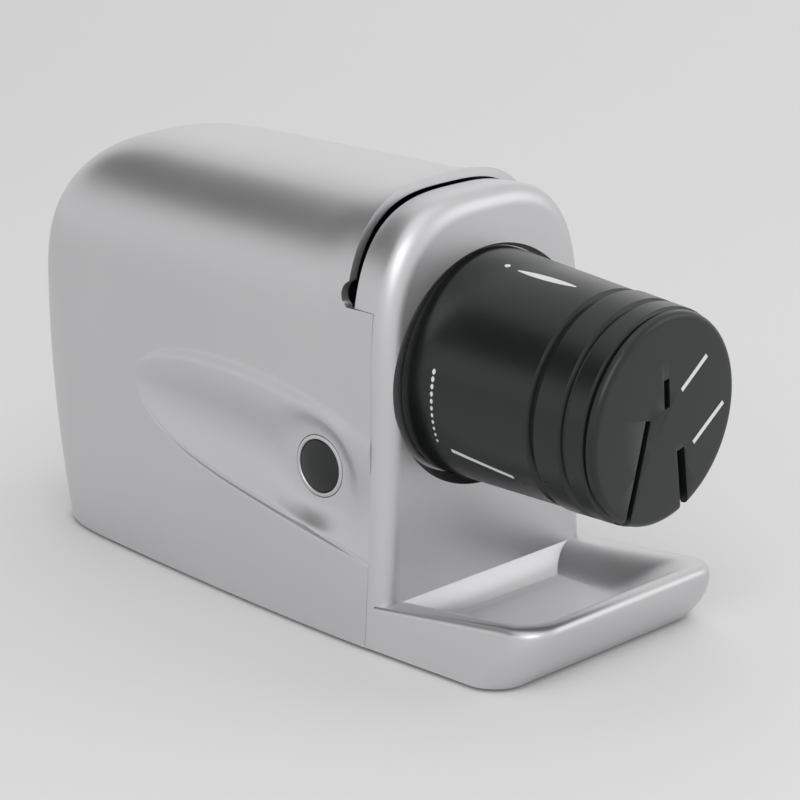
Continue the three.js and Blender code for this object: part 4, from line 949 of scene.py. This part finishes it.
def makeInsert():
    gap = barrel["insertGap"]
    radius = barrel["end"] - barrel["wall"] - gap
    top = barrel["length"] - barrel["endWall"] - gap
    straight, whole = barrel["insertThick"]
    profile = [(radius, top), (radius, top - straight), (radius - barrel["insertStep"], top - whole)]
    piece = turnRings("slot_insert_block", profile, barrel["insertTurns"], axisPlace)
    for cutter in slotCutters(gap):
        cutWith(piece, cutter)
    softenEdges(piece, barrel["insertEdge"], angle=barrel["edgeAngle"])
    return piece


dress(makeBarrel(), "guide_barrel_cap", "black_plastic", "barrel", ["guide_barrel"])
print("barrel ready")


# white marks on the barrel and its end, with the dot and the drop on the barrel's top a painted highlight:
# (degrees round the barrel, forward), millimetres
marks = {"film": 0.08, "dot": (101.2, 8.9, 0.75), "highlightAngles": (102, 98.3), "highlightFrom": 12.6, "highlightTo": 29,
         "highlightHalf": 1.05, "row": (169, 206), "rowAt": 7.1, "rowCount": 11, "rowHalf": 0.42,
         "rowShrink": (1.15, 0.7), "rowWide": 1.5, "tipShare": 0.06, "tipBend": 0.6,
         "line": ((-149.8, 10.8), (-142.8, 28.4)), "lineHalf": 0.5, "steps": 14,
         "strokes": [((0.19, 0.25), (0.52, 0.51)), ((0.42, -0.30), (0.82, 0.0))], "strokeHalf": 0.55}


def onBarrel(angle, forward, aside):
    radius = barrelRadius(forward)
    turn = math.radians(angle) + aside / radius
    return axisPlace @ Vector((radius * mm * math.cos(turn), radius * mm * math.sin(turn), forward * mm))


def onEnd(x, y):
    return axisPlace @ Vector((x * mm, y * mm, (barrel["length"] + barrel["crown"]) * mm))


# a thin white film over pairs of points, for the marks and the painted highlight
def film(name, pairs):
    points = [point for pair in pairs for point in pair]
    faces = [(2 * spot, 2 * spot + 1, 2 * spot + 3, 2 * spot + 2) for spot in range(len(pairs) - 1)]
    piece = newPiece(name, points, faces)
    step = piece.modifiers.new("film", "SOLIDIFY")
    step.thickness = marks["film"] * 2 * mm
    step.offset = 0
    press(piece, step)
    faceOutward(piece)
    return piece


def spindlePairs(angles, span, half):
    pairs = []
    for step in range(marks["steps"] + 1):
        share = step / marks["steps"]
        wide = half * max(math.sin(math.pi * share), marks["tipShare"]) ** marks["tipBend"]
        angle, forward = lerp(*angles, share), lerp(*span, share)
        pairs.append((onBarrel(angle, forward, -wide), onBarrel(angle, forward, wide)))
    return pairs


def makeMarks():
    # the dot and the drop on the barrel's top are a painted highlight: a white film where a lamp's glint
    # would fall
    angle, forward, half = marks["dot"]
    pieces = [film("painted_highlight_dot", spindlePairs((angle, angle), (forward - half, forward + half), half))]
    pieces.append(film("painted_highlight_drop", spindlePairs(marks["highlightAngles"], (marks["highlightFrom"], marks["highlightTo"]),
                                                 marks["highlightHalf"])))
    count = marks["rowCount"]
    for spot in range(count):
        share = spot / (count - 1)
        size = marks["rowHalf"] * lerp(*marks["rowShrink"], share)
        place = lerp(*marks["row"], share)
        span = (marks["rowAt"] - size, marks["rowAt"] + size)
        pieces.append(film("mark_row", spindlePairs((place, place), span, size * marks["rowWide"])))
    (startAngle, start), (endAngle, end) = marks["line"]
    half = marks["lineHalf"]
    pairs = []
    for step in range(marks["steps"] + 1):
        share = step / marks["steps"]
        angle, forward = lerp(startAngle, endAngle, share), lerp(start, end, share)
        pairs.append((onBarrel(angle, forward, -half), onBarrel(angle, forward, half)))
    pieces.append(film("mark_line", pairs))
    for start, end in marks["strokes"]:
        near, far = Vector(start) * barrel["end"], Vector(end) * barrel["end"]
        across = (far - near).normalized().orthogonal() * marks["strokeHalf"]
        pieces.append(film("mark_stroke", [(onEnd(*(spot - across)), onEnd(*(spot + across)))
                                           for spot in (near, far)]))
    return joinTo(*pieces)


# the white marks, with the painted highlight (dot and drop) on the barrel's top
dress(makeMarks(), "barrel_marks_and_painted_highlight", "painted_highlight_and_white_marks", "barrel")
dress(makeInsert(), "slot_insert_block", "dark_plastic", "barrel", ["knife_guide_insert"])


# guide ring and grinding wheel

ring = {"bore": 22, "reach": 7, "collar": 25.6, "edge": 0.4, "front": -3.2, "neck": 24.45, "back": -6.3,
        "flange": 27, "flangeThick": 1.5, "turns": 96}
wheel = {"radius": 19.5, "back": 16.5, "front": 41, "thick": 14, "recess": 1.5, "bore": 4.3, "nut": 6.4,
         "room": 3, "edge": 0.6, "edgeRound": 0.3, "turns": 128}


def makeRing():
    edge = ring["edge"]
    flangeBack = ring["back"] - ring["flangeThick"]
    profile = [(ring["bore"], ring["reach"] - edge), (ring["bore"] + edge, ring["reach"]),
               (ring["collar"] - edge, ring["reach"]), (ring["collar"], ring["reach"] - edge),
               (ring["collar"], ring["front"]), (ring["neck"], ring["front"]), (ring["neck"], ring["back"]),
               (ring["flange"] - edge, ring["back"]), (ring["flange"], ring["back"] - edge),
               (ring["flange"], flangeBack), (ring["bore"], flangeBack), (ring["bore"], ring["reach"] - edge)]
    return turnRings("guide_ring_collar", profile, ring["turns"], axisPlace, closed=True)


def makeWheel():
    edge, radius, front = wheel["edge"], wheel["radius"], wheel["front"]
    floor, back = front - wheel["recess"], front - wheel["thick"]
    inner, bend = wheel["nut"] + wheel["room"], edge * wheel["edgeRound"]
    profile = [(wheel["bore"], floor), (inner, floor), (inner + wheel["recess"], front),
               (radius - edge, front), (radius - bend, front - bend), (radius, front - edge),
               (wheel["back"], back + edge), (wheel["back"] - edge, back), (wheel["bore"], back),
               (wheel["bore"], floor)]
    return turnRings("wheel_stone", profile, wheel["turns"], axisPlace, closed=True)


dress(makeRing(), "guide_ring_collar", "dark_plastic", "guide_ring", ["guide_ring"])
dress(makeWheel(), "wheel_stone", "stone", "spindle", ["grinding_wheel"])


# power button and the thin ring round it

def makeButton():
    face, radius, stem = buttonFace(), button["radius"], button["stem"]
    under = face - form["wall"] - button["slack"]
    lower = under - button["flangeThick"]
    profile = []
    for share in button["crownShares"]:
        rise = math.cos(math.pi / 2 * share ** button["crownBend"]) ** button["crownRoot"]
        profile.append((radius * share, face + button["crown"] * rise))
    profile += [(radius, face - button["rimDrop"]), (radius, under), (button["flange"], under),
                (button["flange"], lower), (stem, lower), (stem, button["stemEnd"])]
    return turnRings("button_cap", profile, button["steps"], buttonPlace)


# the ring's rounded top: points (in from the rim, down from the crest) along its two rims
bezel = {"inside": [(0, 0.3), (0.15, 0.08), (0.4, 0)], "outside": [(0.5, 0.05), (0.12, 0.25), (0, 0.6)]}


def makeBezel():
    seat = buttonFace() - button["seat"] + button["slack"]
    crest = seat + button["seat"] + button["rise"]
    inner, outer = button["radius"] + button["gap"], button["bezel"]
    profile = [(inner + across, crest - down) for across, down in bezel["inside"]]
    profile += [(outer - across, crest - down) for across, down in bezel["outside"]]
    profile += [(outer, seat), (inner, seat), profile[0]]
    return turnRings("button_bezel", profile, button["steps"], buttonPlace, closed=True)


dress(makeButton(), "button_cap", "black_plastic", "button", ["power_button"])
dress(makeBezel(), "button_bezel", "silver_plastic", "housing", ["button_bezel"])
print("button, wheel and ring ready")


# the other pieces keep their form: a merged copy of each, its edges broken and its round faces smooth

copies = {"merge": 0.001, "dissolve": 0.4, "edge": 0.15, "angle": 40, "smooth": 32,
          "plain": ("spring", "screw")}


def softCopy(name, node):
    twin = bpy.data.objects.new(name + "_moulded", node.data.copy())
    bpy.context.collection.objects.link(twin)
    twin.matrix_world = node.matrix_world
    faceOutward(twin, copies["merge"])
    if not any(word in name for word in copies["plain"]):
        bpy.ops.object.mode_set(mode="EDIT")
        bpy.ops.mesh.select_all(action="SELECT")
        bpy.ops.mesh.dissolve_limited(angle_limit=math.radians(copies["dissolve"]))
        bpy.ops.object.mode_set(mode="OBJECT")
        softenEdges(twin, copies["edge"], segments=1, angle=copies["angle"])
    return twin


for name, node in cadNodes.items():
    bodies = body_of(node)
    if name in dressed or len(bodies) > 1:
        continue
    slotName = node.material_slots[0].material.name.split(".")[0]
    moulded = dress(softCopy(name, node), name + "_moulded", slotName, bodies[0], [name], copies["smooth"])
    if name == "button_spring":
        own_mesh(moulded)
print("inner pieces ready")


# the CAD's own pieces take these finishes

for name, node in cadNodes.items():
    for spot in node.material_slots:
        slotName = spot.material.name.split(".")[0]
        if slotName in materials:
            spot.material = materials[slotName]
        else:
            print("no finish for", name, slotName)
print("CAD pieces dressed:", len(cadNodes) - len(dressed))
